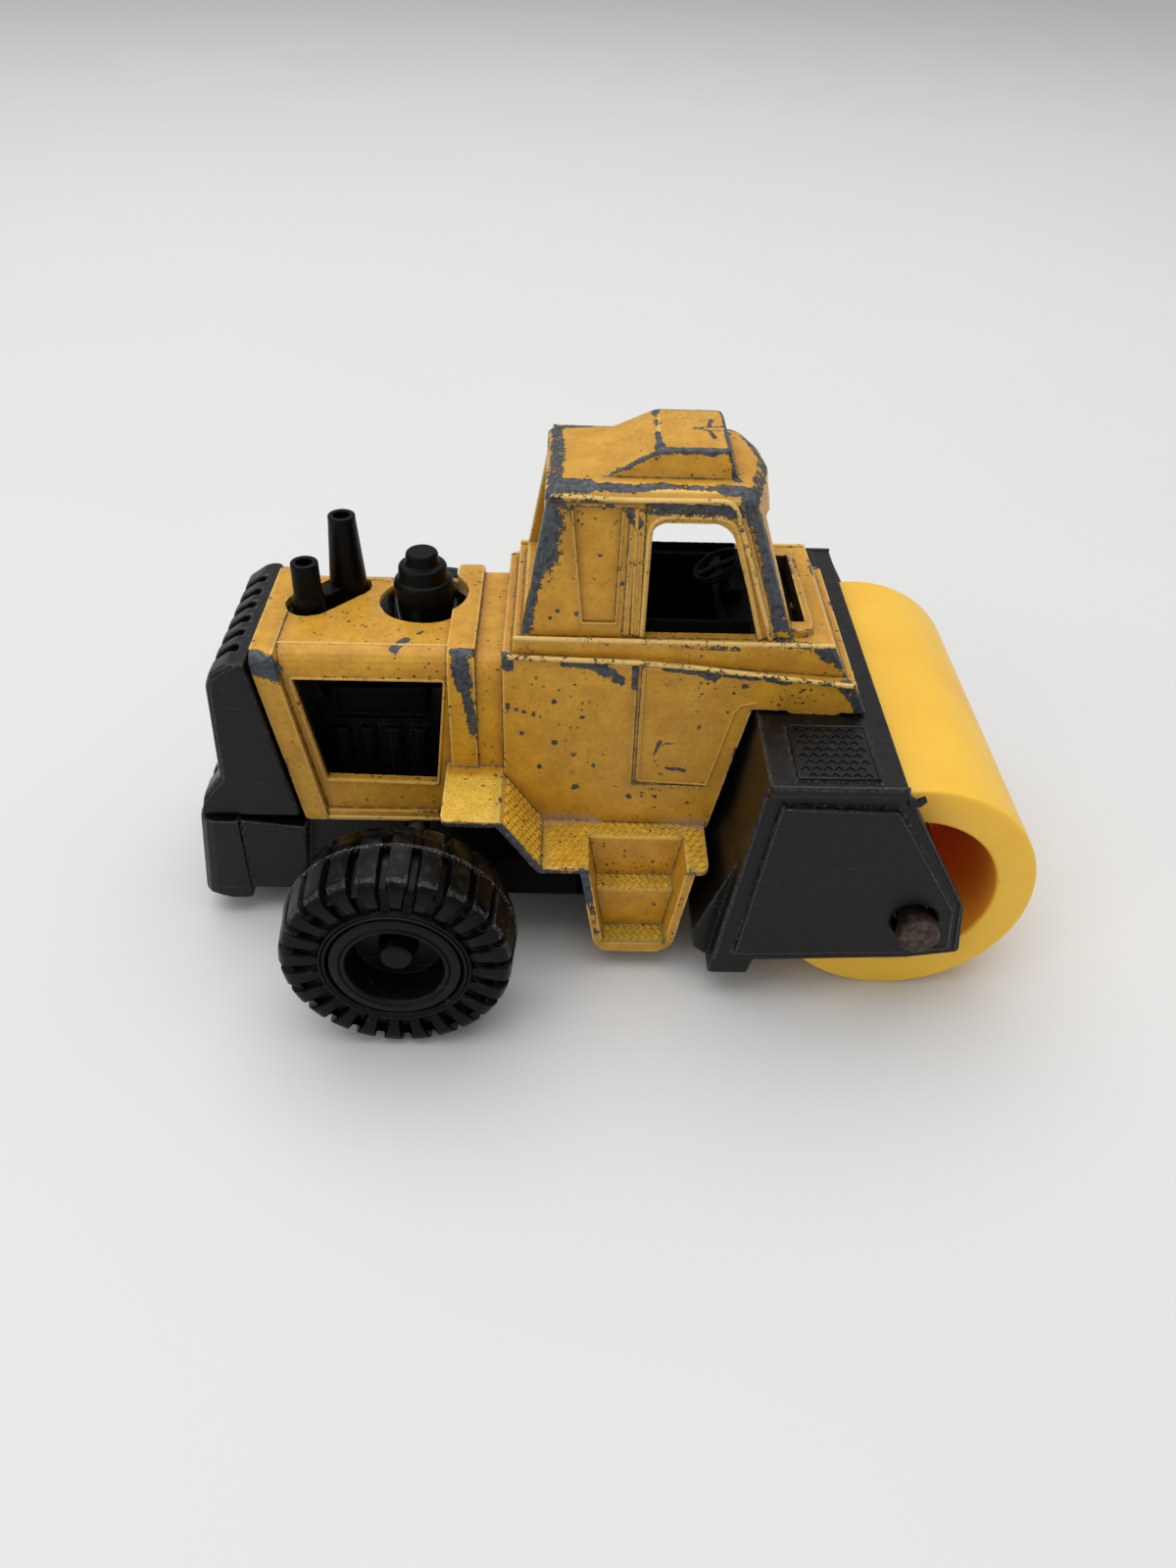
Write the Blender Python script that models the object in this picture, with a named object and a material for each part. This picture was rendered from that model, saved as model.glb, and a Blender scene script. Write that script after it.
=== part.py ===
"""Toy road roller: die-cast body, plastic base and yoke, free-turning drum and a wheelset.

Lengths are in millimetres here and become metres when a mesh is made. X runs along the toy towards
the drum, Y across it and Z up. X is counted from the wheel axle; the parent empty then moves the
whole toy so that the origin is the middle of its footprint, on the ground.
"""

import math

import bmesh
import bpy
from mathutils import Matrix, Vector

MM = 0.001
GAP = 0.3

# Running gear
WHEEL_R = 13.8
WHEEL_MID = 29.6
WHEEL_HALF = 6.3
INNER_SLIM = 1.2
HUB_R = 7.5
LUGS = 24
AXLE_R = 1.2
DRUM_X = 60.5
DRUM_R = 16.0
DRUM_HALF = 24.3
DRUM_RECESS_R = 11.2
PIN_X = 61.7
PIN_Z = 14.0
PIN_R = 1.9
BORE_R = 4.3
EYE_X = 61.4
EYE_Z = 14.6
EYE_R = 2.75

# Casting
WALL = 1.3
HOOD_HALF = 10.4
HOOD_TOP = 39.8
HOOD_FOOT = 15.2
HOOD_FRONT_TOP = -18.3
HOOD_FRONT_FOOT = -14.1
POST_W = 2.9
CAB_X = 11.6
SILL_Z = 43.3
ROOF_Z = 61.0
HUMP_Z = 64.1
SHELF_Z = 17.1
UPPER_SHELF_Z = 24.4
SHELF_HALF = 22.0
SHELF_T = 0.9
STEP_X0 = 21.1
STEP_X1 = 35.4
STEP_FOOT = 2.9

STACK_SHORT = (-13.1, 1.4)
STACK_TALL = (-8.9, 6.2)
CLEANER_XY = (1.1, 3.0)
CLEANER_HOLE_R = 5.6

# Base and yoke
BUMPER_X = -28.8
BUMPER_TOP = 16.3
TUB_FOOT = 4.0
TUB_FLOOR = 5.6
BASE_RIVET_X = 10.2
FRAME_RIVET_X = 48.6
FRAME_TOP = 34.9
FRAME_HALF = 27.7
FRAME_T = 1.4

ORIGIN_X = -(BUMPER_X + DRUM_X + DRUM_R) / 2

PAINT = (0.62, 0.36, 0.06, 1.0)
BLACK = (0.025, 0.025, 0.028, 1.0)
DRUM_YELLOW = (0.90, 0.52, 0.06, 1.0)
STEEL = (0.32, 0.28, 0.26, 1.0)


def clear_scene():
    for obj in list(bpy.data.objects):
        bpy.data.objects.remove(obj, do_unlink=True)


# ---------------------------------------------------------------- modelling helpers


def new_object(name, bm):
    """A mesh object from a bmesh in millimetres, with faces pointing out."""
    bmesh.ops.scale(bm, vec=(MM, MM, MM), verts=bm.verts)
    bmesh.ops.recalc_face_normals(bm, faces=bm.faces)
    mesh = bpy.data.meshes.new(name)
    bm.to_mesh(mesh)
    bm.free()
    obj = bpy.data.objects.new(name, mesh)
    bpy.context.collection.objects.link(obj)
    return obj


def loft(name, rings):
    """A closed solid through rings of equally many points, with flat ends."""
    bm = bmesh.new()
    loops = [[bm.verts.new(p) for p in ring] for ring in rings]
    count = len(loops[0])
    for low, high in zip(loops, loops[1:]):
        for i in range(count):
            j = (i + 1) % count
            bm.faces.new((low[i], low[j], high[j], high[i]))
    bm.faces.new(loops[0])
    bm.faces.new(loops[-1])
    return new_object(name, bm)


def across(name, outline, half, low=None):
    """An XZ outline carried across the toy; half may be a number or a function of x."""
    reach = half if callable(half) else lambda x: half
    near = [(x, -reach(x) if low is None else low, z) for x, z in outline]
    far = [(x, reach(x), z) for x, z in outline]
    return loft(name, [near, far])


def box(name, low, high):
    outline = [(low[0], low[2]), (high[0], low[2]), (high[0], high[2]), (low[0], high[2])]
    return across(name, outline, high[1], low[1])


def turned(name, profile, axis, centre, segments, closed=True):
    """A profile of (radius, height) pairs turned about an axis through centre."""
    direction = Vector(axis)
    out = Vector((0, 0, 1)) if axis[2] == 0 else Vector((1, 0, 0))
    place = Vector(centre)
    bm = bmesh.new()
    verts = [bm.verts.new(place + out * r + direction * h) for r, h in profile]
    ends = len(verts) if closed else len(verts) - 1
    edges = [bm.edges.new((verts[i], verts[(i + 1) % len(verts)])) for i in range(ends)]
    bmesh.ops.spin(
        bm,
        geom=verts + edges,
        cent=place,
        axis=direction,
        angle=math.tau,
        steps=segments,
        use_merge=True,
    )
    bmesh.ops.remove_doubles(bm, verts=bm.verts, dist=1e-4)
    return new_object(name, bm)


def rod(name, radius, start, end, segments=24):
    """A plain round rod between two points on a line along X, Y or Z."""
    run = Vector(end) - Vector(start)
    profile = [(0, 0), (radius, 0), (radius, run.length), (0, run.length)]
    return turned(name, profile, tuple(run.normalized()), start, segments, closed=False)


def settle(obj):
    """Makes the evaluated mesh the object's own and drops its modifiers."""
    graph = bpy.context.evaluated_depsgraph_get()
    mesh = bpy.data.meshes.new_from_object(obj.evaluated_get(graph))
    obj.modifiers.clear()
    obj.data = mesh
    bm = bmesh.new()
    bm.from_mesh(mesh)
    bmesh.ops.remove_doubles(bm, verts=bm.verts, dist=0.002 * MM)
    bmesh.ops.dissolve_degenerate(bm, edges=bm.edges, dist=0.001 * MM)
    bm.to_mesh(mesh)
    bm.free()


def combine(target, tools, operation):
    """Joins the tools to the target, or cuts them out of it, and removes them."""
    for tool in tools:
        modifier = target.modifiers.new("shape", "BOOLEAN")
        modifier.operation = operation
        modifier.solver = "EXACT"
        modifier.object = tool
        settle(target)
        bpy.data.objects.remove(tool, do_unlink=True)
    return target


def round_edges(obj, wanted, width, segments):
    """Bevels the edges whose two ends, in millimetres, satisfy wanted(a, b)."""
    bm = bmesh.new()
    bm.from_mesh(obj.data)
    chosen = [e for e in bm.edges if wanted(e.verts[0].co / MM, e.verts[1].co / MM)]
    bmesh.ops.bevel(
        bm,
        geom=chosen,
        offset=width * MM,
        offset_type="OFFSET",
        segments=segments,
        profile=0.5,
        affect="EDGES",
        clamp_overlap=True,
    )
    bm.to_mesh(obj.data)
    bm.free()
    return obj


def long_top_edge(top):
    """Test for edges that run along X at or above a height."""
    return lambda a, b: min(a.z, b.z) > top and abs(a.y - b.y) < 0.01 and abs(a.x - b.x) > 1


def mirrored(obj, name):
    """A copy on the other side of the toy's middle plane."""
    copy = obj.copy()
    copy.data = obj.data.copy()
    copy.name = name
    copy.data.transform(Matrix.Scale(-1, 4, (0, 1, 0)))
    copy.data.flip_normals()
    bpy.context.collection.objects.link(copy)
    return copy


def finish(obj, name, colour, roughness, metallic=0.0):
    """Name, material and shading."""
    obj.name = name
    obj.data.name = name
    material = bpy.data.materials.new(name)
    material.use_nodes = True
    shader = material.node_tree.nodes["Principled BSDF"]
    shader.inputs["Base Color"].default_value = colour
    shader.inputs["Roughness"].default_value = roughness
    shader.inputs["Metallic"].default_value = metallic
    obj.data.materials.clear()
    obj.data.materials.append(material)
    obj.data.shade_smooth()
    obj.data.set_sharp_from_angle(angle=math.radians(35))
    return obj


def lerp(a, b, t):
    return a + (b - a) * t


# ---------------------------------------------------------------- body casting


def hood_front(z):
    """X of the hood's sloping front face at a height."""
    return lerp(HOOD_FRONT_FOOT, HOOD_FRONT_TOP, (z - HOOD_FOOT) / (HOOD_TOP - HOOD_FOOT))


def body_half(x):
    """Half width of the body below the belt, which flares towards the cowl."""
    return 12.5 + 0.036 * (x - CAB_X)


def belt_half(x):
    return 11.9 + 0.018 * (x - CAB_X)


def cab_plan(z, grow=0.0):
    """Plan of the tapered cab at a height, with a bowed windscreen end."""
    t = (z - SILL_Z) / (ROOF_Z - SILL_Z)
    half = lerp(11.0, 9.1, t) + grow
    back = lerp(13.7, 17.0, t) - grow
    front = lerp(45.2, 38.8, t) + grow
    bow = lerp(0.9, 2.2, t)
    return [
        (back, -half, z),
        (front, -half, z),
        (front + 0.75 * bow, -half / 2, z),
        (front + bow, 0, z),
        (front + 0.75 * bow, half / 2, z),
        (front, half, z),
        (back, half, z),
    ]


def hood_blocks():
    top = HOOD_TOP
    core = [(hood_front(top) + 1, top), (6, top), (6, HOOD_FOOT + 0.2), (-13, HOOD_FOOT + 0.2)]
    panel = across("hood", core, HOOD_HALF)
    round_edges(panel, long_top_edge(top - 1), 2.6, 5)
    post = [
        (HOOD_FRONT_TOP, top + 0.2),
        (HOOD_FRONT_TOP + POST_W, top + 0.2),
        (HOOD_FRONT_FOOT + POST_W, HOOD_FOOT),
        (HOOD_FRONT_FOOT, HOOD_FOOT),
    ]
    front = across("hood_front", post, HOOD_HALF + 1.0)
    round_edges(front, long_top_edge(top - 1), 1.5, 3)
    rail = [(-13.5, 16.6), (3.2, 16.6), (3.2, HOOD_FOOT - 0.2), (-13.5, HOOD_FOOT - 0.2)]
    foot = across("hood_rail", rail, HOOD_HALF + 0.6)
    band_a = box("band_a", (5.0, -11.5, 15.7), (8.3, 11.5, 41.0))
    round_edges(band_a, long_top_edge(40), 2.0, 4)
    band_b = box("band_b", (8.0, -11.2, 15.9), (12.4, 11.2, 40.1))
    round_edges(band_b, long_top_edge(39), 2.0, 4)
    return panel, [front, foot, band_a, band_b]


def cab_blocks():
    lower = [(CAB_X, 16.4), (37.3, 16.4), (41.1, 35.3), (54.6, 35.3), (52.8, 39.5), (CAB_X, 41.6)]
    belt = [(12.4, 40.0), (52.6, 38.0), (50.0, SILL_Z + 0.2), (12.9, SILL_Z)]
    body = across("cab_body", lower, body_half)
    band = across("belt", belt, belt_half)
    cab = loft("cab", [cab_plan(z) for z in (42.0, 59.7)])
    round_edges(cab, lambda a, b: abs(a.z - b.z) > 10 and a.x < 20, 1.2, 3)
    roof_rings = ((59.4, 0.3), (59.9, 0.3), (60.6, -0.4), (ROOF_Z, -1.6))
    roof = loft("roof", [cab_plan(z, grow) for z, grow in roof_rings])
    foot = ROOF_Z - 0.4
    near = [(21.9, -6.6, foot), (28.9, -5.8, HUMP_Z), (36.6, -5.8, HUMP_Z), (37.7, -6.6, foot)]
    hump = loft("hump", [near, [(x, -y, z) for x, y, z in near]])
    return [body, band, cab, roof, hump]


def windscreen_lip():
    """Low lip that stands in front of the windscreen opening."""
    lip = box("lip", (42.3, -10.4, 42.3), (47.8, 10.4, 44.4))
    return round_edges(lip, lambda a, b: abs(a.z - b.z) > 2 and min(a.x, b.x) > 47, 1.6, 3)


def shelf_blocks():
    """Footplates on both sides: an upper plate, a slope and a lower plate."""
    t = SHELF_T
    outline = [
        (4.4, UPPER_SHELF_Z),
        (11.4, UPPER_SHELF_Z),
        (16.4, SHELF_Z),
        (37.0, SHELF_Z),
        (37.0, SHELF_Z - t),
        (16.0, SHELF_Z - t),
        (11.0, UPPER_SHELF_Z - t),
        (4.4, UPPER_SHELF_Z - t),
    ]
    shelf = across("shelf", outline, SHELF_HALF)

    def corner(a, b):
        return abs(a.x - b.x) < 0.1 and abs(a.y - b.y) < 0.1 and (a.x < 5 or a.x > 36)

    return round_edges(shelf, corner, 0.9, 2)


def step_solid(name, side, stair, inset):
    """A stair profile of (y, z) pairs carried along X between walls that draw in downwards."""

    def draw(z):
        return inset + lerp(2.3, 0.0, (z - STEP_FOOT) / (SHELF_Z - STEP_FOOT))

    left = [(STEP_X0 + draw(z), side * y, z) for y, z in stair]
    right = [(STEP_X1 - draw(z), side * y, z) for y, z in stair]
    return loft(name, [left, right])


def step_box(side):
    """Two treads in a box that hangs from the lower footplate."""
    face = SHELF_HALF + 0.1
    stair = [
        (face, STEP_FOOT),
        (face, 16.7),
        (14.8, 16.7),
        (14.8, 9.6),
        (17.6, 9.6),
        (17.6, STEP_FOOT),
    ]
    block = step_solid("step", side, stair, 0.0)

    def low_corner(a, b):
        return max(a.z, b.z) < STEP_FOOT + 0.1 and abs(a.x - b.x) < 0.1

    return round_edges(block, low_corner, 1.6, 3)


def step_recess(side):
    face = SHELF_HALF + 3
    stair = [(face, 4.5), (face, 19.0), (16.0, 19.0), (16.0, 10.8), (18.8, 10.8), (18.8, 4.5)]
    return step_solid("step_recess", side, stair, 1.15)


def cavity_tools():
    """The inside of the shell, open from below and at the grille end."""
    front = hood_front(HOOD_FOOT) - 8
    tunnel = box("tunnel", (front, -HOOD_HALF + WALL, 10), (14.0, HOOD_HALF - WALL, HOOD_TOP - WALL))
    lower_outline = [(13.1, 10), (34.7, 10), (39.6, 34.6), (39.8, 36.5), (39.8, 40.6), (13.1, 40.2)]
    lower = across("cab_hollow", lower_outline, lambda x: body_half(x) - WALL - 0.4)
    cowl_outline = [(38.8, 33.0), (52.6, 33.0), (51.2, 38.2), (49.6, 40.8), (38.8, 41.4)]
    cowl = across("cowl_hollow", cowl_outline, 12.0)

    def inner(z):
        ring = cab_plan(z, -WALL)
        return [(x, y, z) for x, y, _ in ring]

    upper = loft("cab_upper_hollow", [inner(z) for z in (39.0, ROOF_Z - WALL - 0.3)])
    return [tunnel, lower, cowl, upper]


def tapered_hole(name, reach, heights, halves):
    """A block along X whose width changes from its foot to its top."""
    a, b = reach
    rings = []
    for z, half in zip(heights, halves):
        rings.append([(a, -half, z), (b, -half, z), (b, half, z), (a, half, z)])
    return loft(name, rings)


def opening_tools():
    """Windows, engine bays and the holes in the hood top."""
    far = 30
    bay = [(-13.6, 36.5), (4.5, 36.5), (3.0, 20.9), (-10.9, 21.3)]
    window = [(27.8, SILL_Z + 0.15), (41.3, SILL_Z + 0.15), (36.9, 57.1), (28.1, 57.1)]
    bays = across("bay", bay, far)
    windows = across("window", window, far)
    round_edges(windows, lambda a, b: min(a.z, b.z) > 50 and abs(a.x - b.x) < 0.1, 2.0, 4)
    screen = tapered_hole("screen", (38.0, 46.9), (40.0, 57.0), (8.4, 7.2))
    rear = tapered_hole("rear_window", (10.0, 22.0), (45.5, 57.0), (8.0, 6.8))
    cleaner = rod("cleaner_hole", CLEANER_HOLE_R, (*CLEANER_XY, 36), (*CLEANER_XY, 46), 32)
    slot = stack_slot(2.9, 36, 46)
    return [bays, windows, screen, rear, cleaner, slot]


def stack_slot(radius, z_low, z_high):
    """Round-ended prism that holds both stacks, set askew in the hood top."""
    a, b = Vector(STACK_SHORT), Vector(STACK_TALL)
    turn = math.atan2(b.y - a.y, b.x - a.x)
    ring = []
    for centre, start in ((b, -90), (a, 90)):
        for i in range(9):
            angle = turn + math.radians(start + i * 22.5)
            ring.append(centre + radius * Vector((math.cos(angle), math.sin(angle))))
    return loft("slot", [[(p.x, p.y, z) for p in ring] for z in (z_low, z_high)])


def surface_tools(side):
    """Shallow marks on one side: pillar panel, door outline and window surround."""

    outline = [(20.7, 45.0), (24.6, 45.0), (25.0, 58.8), (19.3, 58.8)]
    floor = [(x, side * lerp(10.45, 8.95, (z - 45.0) / 13.8), z) for x, z in outline]
    panel = loft("panel", [floor, [(x, side * 14, z) for x, z in outline]])
    inside = side * (body_half(28) - 0.25)
    low, high = sorted((inside, inside + side * 6))
    seam = box("door_seam", (27.4, low, 23.6), (27.9, high, 41.0))
    low, high = sorted((inside + side * 0.15, inside + side * 6))
    sill = box("door_sill", (27.6, low, 23.4), (36.3, high, 23.8))
    return [panel, seam, sill]


def window_surround(side):
    """Thin raised strips beside the window: a double pillar rib and the front rib."""

    def strip(name, x_low, x_top, width):
        rings = []
        for z, x in ((SILL_Z + 0.3, x_low), (58.6, x_top)):
            t = (z - SILL_Z) / (ROOF_Z - SILL_Z)
            half = lerp(11.0, 9.1, t)
            plan = ((x, half - 0.6), (x + width, half - 0.6), (x + width, half + 0.22), (x, half + 0.22))
            rings.append([(px, side * py, z) for px, py in plan])
        return loft(name, rings)

    feet = (("rib_a", 25.5, 25.8), ("rib_b", 26.7, 26.7), ("rib_c", 42.6, 37.6))
    return [strip(name, x_low, x_top, 0.7) for name, x_low, x_top in feet]


def make_body():
    body, blocks = hood_blocks()
    blocks += [shelf_blocks(), step_box(-1), step_box(1)] + cab_blocks()
    combine(body, blocks, "UNION")
    combine(body, window_surround(-1) + window_surround(1) + [windscreen_lip()], "UNION")
    combine(body, cavity_tools() + opening_tools(), "DIFFERENCE")
    for side in (-1, 1):
        combine(body, [step_recess(side)] + surface_tools(side), "DIFFERENCE")
    posts = [
        rod("front_post", 2.3, (BASE_RIVET_X, 0, TUB_FLOOR + GAP), (BASE_RIVET_X, 0, 39.2), 16),
        rod("rear_post", 2.0, (FRAME_RIVET_X, 0, 35.3), (FRAME_RIVET_X, 0, 41.8), 16),
    ]
    combine(body, posts, "UNION")
    bores = [
        rod("front_bore", 1.1, (BASE_RIVET_X, 0, 5.0), (BASE_RIVET_X, 0, 14.0), 12),
        rod("rear_bore", 1.1, (FRAME_RIVET_X, 0, 34.0), (FRAME_RIVET_X, 0, 40.0), 12),
    ]
    combine(body, bores, "DIFFERENCE")
    return finish(body, "body_casting", PAINT, 0.4)


# ---------------------------------------------------------------- grille, base and yoke


def make_grille():
    """Ribbed guard on the hood's sloping end, with ribs that kick out over a ledge."""
    gap = GAP
    outline = [
        (hood_front(39.4) - gap, 39.4),
        (-20.6, 39.4),
        (-22.9, 37.8),
        (-23.5, 36.2),
        (-24.0, 22.8),
        (-26.3, 19.8),
        (-27.1, BUMPER_TOP + gap),
        (hood_front(BUMPER_TOP + gap) - gap, BUMPER_TOP + gap),
    ]
    grille = across("grille", outline, 12.4)

    def fold(a, b):
        return abs(a.y - b.y) < 0.1 and max(a.x, b.x) < -20.5 and min(a.z, b.z) > 17

    round_edges(grille, fold, 0.7, 2)
    floor = [(x + 1.3, z) for x, z in outline[2:6]]
    line = [(-19.8, 42.0), (-19.8, 38.2)] + floor + [(-25.4, 18.2), (-32.0, 18.2), (-32.0, 42.0)]
    pitch, half = 3.3, 0.75
    middles = [(i - 2.5) * pitch for i in range(6)]
    combine(grille, [across("groove", line, y + half, y - half) for y in middles], "DIFFERENCE")
    return finish(grille, "radiator_grille", BLACK, 0.45)


def make_base():
    """Bumper block and chassis tub in one moulding, with the wheel axle's carriers."""
    front = [(BUMPER_X, 3.9), (-25.0, 3.0), (-22.4, 3.0), (-22.4, BUMPER_TOP), (-27.5, BUMPER_TOP)]
    bumper = across("bumper", front, 13.4)
    round_edges(bumper, lambda a, b: abs(a.z - b.z) > 5 and max(a.x, b.x) < -27, 2.0, 3)
    top = BUMPER_TOP - GAP
    rear = across("bumper_rear", [(-23.2, 4.2), (-15.2, 4.2), (-14.0, 14.9), (-23.2, top)], 12.7)
    tub_line = [(-16.0, TUB_FOOT), (34.9, TUB_FOOT), (34.9, 14.8), (-16.0, 14.8)]
    tub = across("tub", tub_line, HOOD_HALF - 0.2)
    carrier = [(-3.6, 6.0), (3.6, 6.0), (2.6, 17.6), (-2.6, 17.6)]
    pair = [across("carrier", carrier, 8.8, 6.0), across("carrier", carrier, -6.0, -8.8)]
    floor, top = TUB_FLOOR, 16.0
    hollow = across("tub_hollow", [(-14.4, floor), (33.4, floor), (33.4, top), (-14.4, top)], 5.9)
    behind = [(4.5, floor + 0.2), (33.3, floor + 0.2), (33.3, top + 1), (4.5, top + 1)]
    ahead = [(-14.2, floor + 0.2), (-4.5, floor + 0.2), (-4.5, top + 1), (-14.2, top + 1)]
    pockets = [across("pocket", line, 8.8) for line in (behind, ahead)]
    combine(bumper, [rear, tub] + pair, "UNION")
    recess = across("number_panel", [(-32.0, 6.0), (-27.2, 6.0), (-26.6, 14.0), (-32.0, 14.0)], 7.0)
    axle_hole = rod("axle_hole", AXLE_R + 0.3, (0, -16, WHEEL_R), (0, 16, WHEEL_R), 20)
    rivet_hole = rod("rivet_hole", 1.4, (BASE_RIVET_X, 0, 3.0), (BASE_RIVET_X, 0, 8.0), 16)
    tongue_slot = box("tongue_slot", (33.0, -6.2, floor + 0.3), (40.0, 6.2, 18.0))
    combine(bumper, [hollow] + pockets + [recess, axle_hole, rivet_hole, tongue_slot], "DIFFERENCE")
    return finish(bumper, "base_moulding", BLACK, 0.5)


def frame_back(z):
    """X of the yoke's sloping back wall at a height."""
    return lerp(37.4, 41.7, (z - 4.4) / (FRAME_TOP - 4.4))


def make_drum_frame():
    """Yoke over the drum: back wall, top plate, two side plates and a tongue to the base."""
    top, t, half = FRAME_TOP, FRAME_T, FRAME_HALF
    plate_line = [
        (frame_back(top), top),
        (56.8, top),
        (67.2, 16.5),
        (68.2, 9.0),
        (62.0, 7.9),
        (43.0, 7.0),
        (42.4, 4.5),
        (frame_back(4.5), 4.5),
    ]
    shell = across("yoke", plate_line, half - 0.6)
    lip_line = [(41.7, top - 1.2), (57.4, top - 1.2), (56.9, top + 0.1), (41.8, top + 0.1)]
    lip = across("lip", lip_line, half + 0.15)
    apron_line = [(40.2, 22.0), (37.2, 14.0), (35.4, 9.0), (35.7, 6.2), (37.4, 5.0), (39.5, 6.0)]
    apron = across("apron", apron_line, half - 3.2)
    panel_line = [(43.4, 32.0), (56.6, 31.7), (65.8, 16.4), (66.6, 10.2), (61.5, 9.2), (40.2, 8.4)]
    panels = across("panels", panel_line, half)
    combine(shell, [lip, apron, panels], "UNION")
    inner = [(43.1, top - t), (75.0, top - t), (75.0, 0.0), (38.2, 0.0)]
    combine(shell, [across("drum_space", inner, half - 2.0)], "DIFFERENCE")
    pads = [
        box("pad", (44.8, 16.4, top - 0.7), (54.1, 26.6, top + 0.4)),
        box("pad", (44.8, -26.6, top - 0.7), (54.1, -16.4, top + 0.4)),
    ]
    low = TUB_FLOOR + 2 * GAP
    tongue = across("tongue", [(24.0, low), (38.6, low), (39.0, low + 1.7), (24.0, low + 1.7)], 5.5)
    combine(shell, pads + [tongue], "UNION")
    cuts = [
        rod("eye", EYE_R, (EYE_X, -32, EYE_Z), (EYE_X, 32, EYE_Z), 24),
        rod("rivet_hole", 1.4, (FRAME_RIVET_X, 0, 30.0), (FRAME_RIVET_X, 0, 37.0), 16),
    ]
    combine(shell, cuts, "DIFFERENCE")
    return finish(shell, "drum_frame", BLACK, 0.5)


# ---------------------------------------------------------------- running gear


def make_drum():
    """Thick-walled roll with a deep recess at each end, a middle web and a hub tube."""
    edge, web, hub = 0.7, 5.0, 20.5
    half = DRUM_HALF
    one_end = [
        (BORE_R, hub),
        (5.4, hub),
        (5.8, web),
        (DRUM_RECESS_R - 0.5, web),
        (DRUM_RECESS_R, half),
        (DRUM_R - edge, half),
        (DRUM_R - 0.2, half - 0.2),
        (DRUM_R, half - edge),
    ]
    profile = one_end + [(r, -h) for r, h in reversed(one_end)]
    drum = turned("drum", profile, (0, 1, 0), (DRUM_X, 0, DRUM_R), 48)
    return finish(drum, "drum", DRUM_YELLOW, 0.35)


def make_drum_axle():
    """Steel pin whose two ends are spread over the side plates."""
    seat = FRAME_HALF + 0.1
    head = 2.5
    one_end = [
        (PIN_R, seat),
        (head, seat + 0.1),
        (head, seat + 2.0),
        (head - 0.4, seat + 2.4),
        (0, seat + 2.5),
    ]
    profile = [(r, -h) for r, h in reversed(one_end)] + one_end
    pin = turned("pin", profile, (0, 1, 0), (PIN_X, 0, PIN_Z), 24, closed=False)
    return finish(pin, "drum_axle", STEEL, 0.55, 0.8)


def tyre_profile(lug, half, shoulder):
    """Half section of the tyre as (radius, distance from its middle), bead to crown."""
    drop = 0.0 if lug else 1.0
    return [
        (HUB_R + 0.15, half - 1.4),
        (8.1, half - 0.1),
        (8.8, half - 0.1),
        (9.4, half - 0.3 - 0.6 * drop),
        (shoulder - 0.7 - 0.4 * drop, half - 0.4 - 0.8 * drop),
        (shoulder - drop, half - 1.1),
        (WHEEL_R - 0.15 - drop, 0.5),
    ]


def make_tyre():
    """Lugged tyre with a ridge round its crown; its half towards the body is slimmer."""
    bm = bmesh.new()
    loops = []
    for i in range(LUGS):
        for lug, part in ((True, 0.0), (True, 0.58), (False, 0.66), (False, 0.92)):
            angle = math.tau * (i + part) / LUGS
            inner = tyre_profile(lug, WHEEL_HALF - INNER_SLIM, 12.9)
            outer = tyre_profile(lug, WHEEL_HALF, 13.3)
            ring = inner + [(WHEEL_R, 0.0)] + [(r, -h) for r, h in reversed(outer)]
            spots = [(r * math.sin(angle), h, WHEEL_R + r * math.cos(angle)) for r, h in ring]
            loops.append([bm.verts.new(p) for p in spots])
    count = len(loops[0])
    for i, loop in enumerate(loops):
        after = loops[(i + 1) % len(loops)]
        for k in range(count):
            m = (k + 1) % count
            bm.faces.new((loop[k], loop[m], after[m], after[k]))
    return new_object("tyre", bm)


def make_hub():
    """Dished hub with a nub over the axle's end; the outer side is at negative Y."""
    outer = WHEEL_HALF - 0.1
    bore = AXLE_R + 0.05
    profile = [
        (0.0, -2.6),
        (bore, -2.6),
        (bore, 4.4),
        (3.0, 4.4),
        (3.2, 0.6),
        (HUB_R - 1.2, 0.6),
        (HUB_R - 0.8, outer - 1.2),
        (HUB_R - 0.15, outer - 1.6),
        (HUB_R - 0.15, -outer + 1.6),
        (HUB_R + 0.4, -outer + 0.1),
        (7.0, -outer),
        (6.7, -outer + 0.5),
        (6.2, -outer + 0.2),
        (5.7, -outer + 0.6),
        (5.4, -2.2),
        (2.5, -2.0),
        (1.9, -4.4),
        (0.0, -4.5),
    ]
    return turned("hub", profile, (0, 1, 0), (0, 0, WHEEL_R), 32, closed=False)


def place_wheel_piece(make, name, side, roughness):
    """One tyre or hub, moved to its side; the pieces are modelled for the right."""
    piece = make()
    if side > 0:
        right = piece
        piece = mirrored(right, name)
        bpy.data.objects.remove(right, do_unlink=True)
    piece.data.transform(Matrix.Translation((0, side * WHEEL_MID * MM, 0)))
    finish(piece, name, BLACK, roughness)


def make_wheels():
    for side, word in ((-1, "right"), (1, "left")):
        place_wheel_piece(make_tyre, "tyre_" + word, side, 0.75)
        place_wheel_piece(make_hub, "wheel_hub_" + word, side, 0.5)
    reach = WHEEL_MID + 2.4
    axle = rod("axle", AXLE_R, (0, -reach, WHEEL_R), (0, reach, WHEEL_R), 16)
    finish(axle, "wheel_axle", STEEL, 0.4, 0.9)


# ---------------------------------------------------------------- engine, stacks and cab fittings


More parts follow.
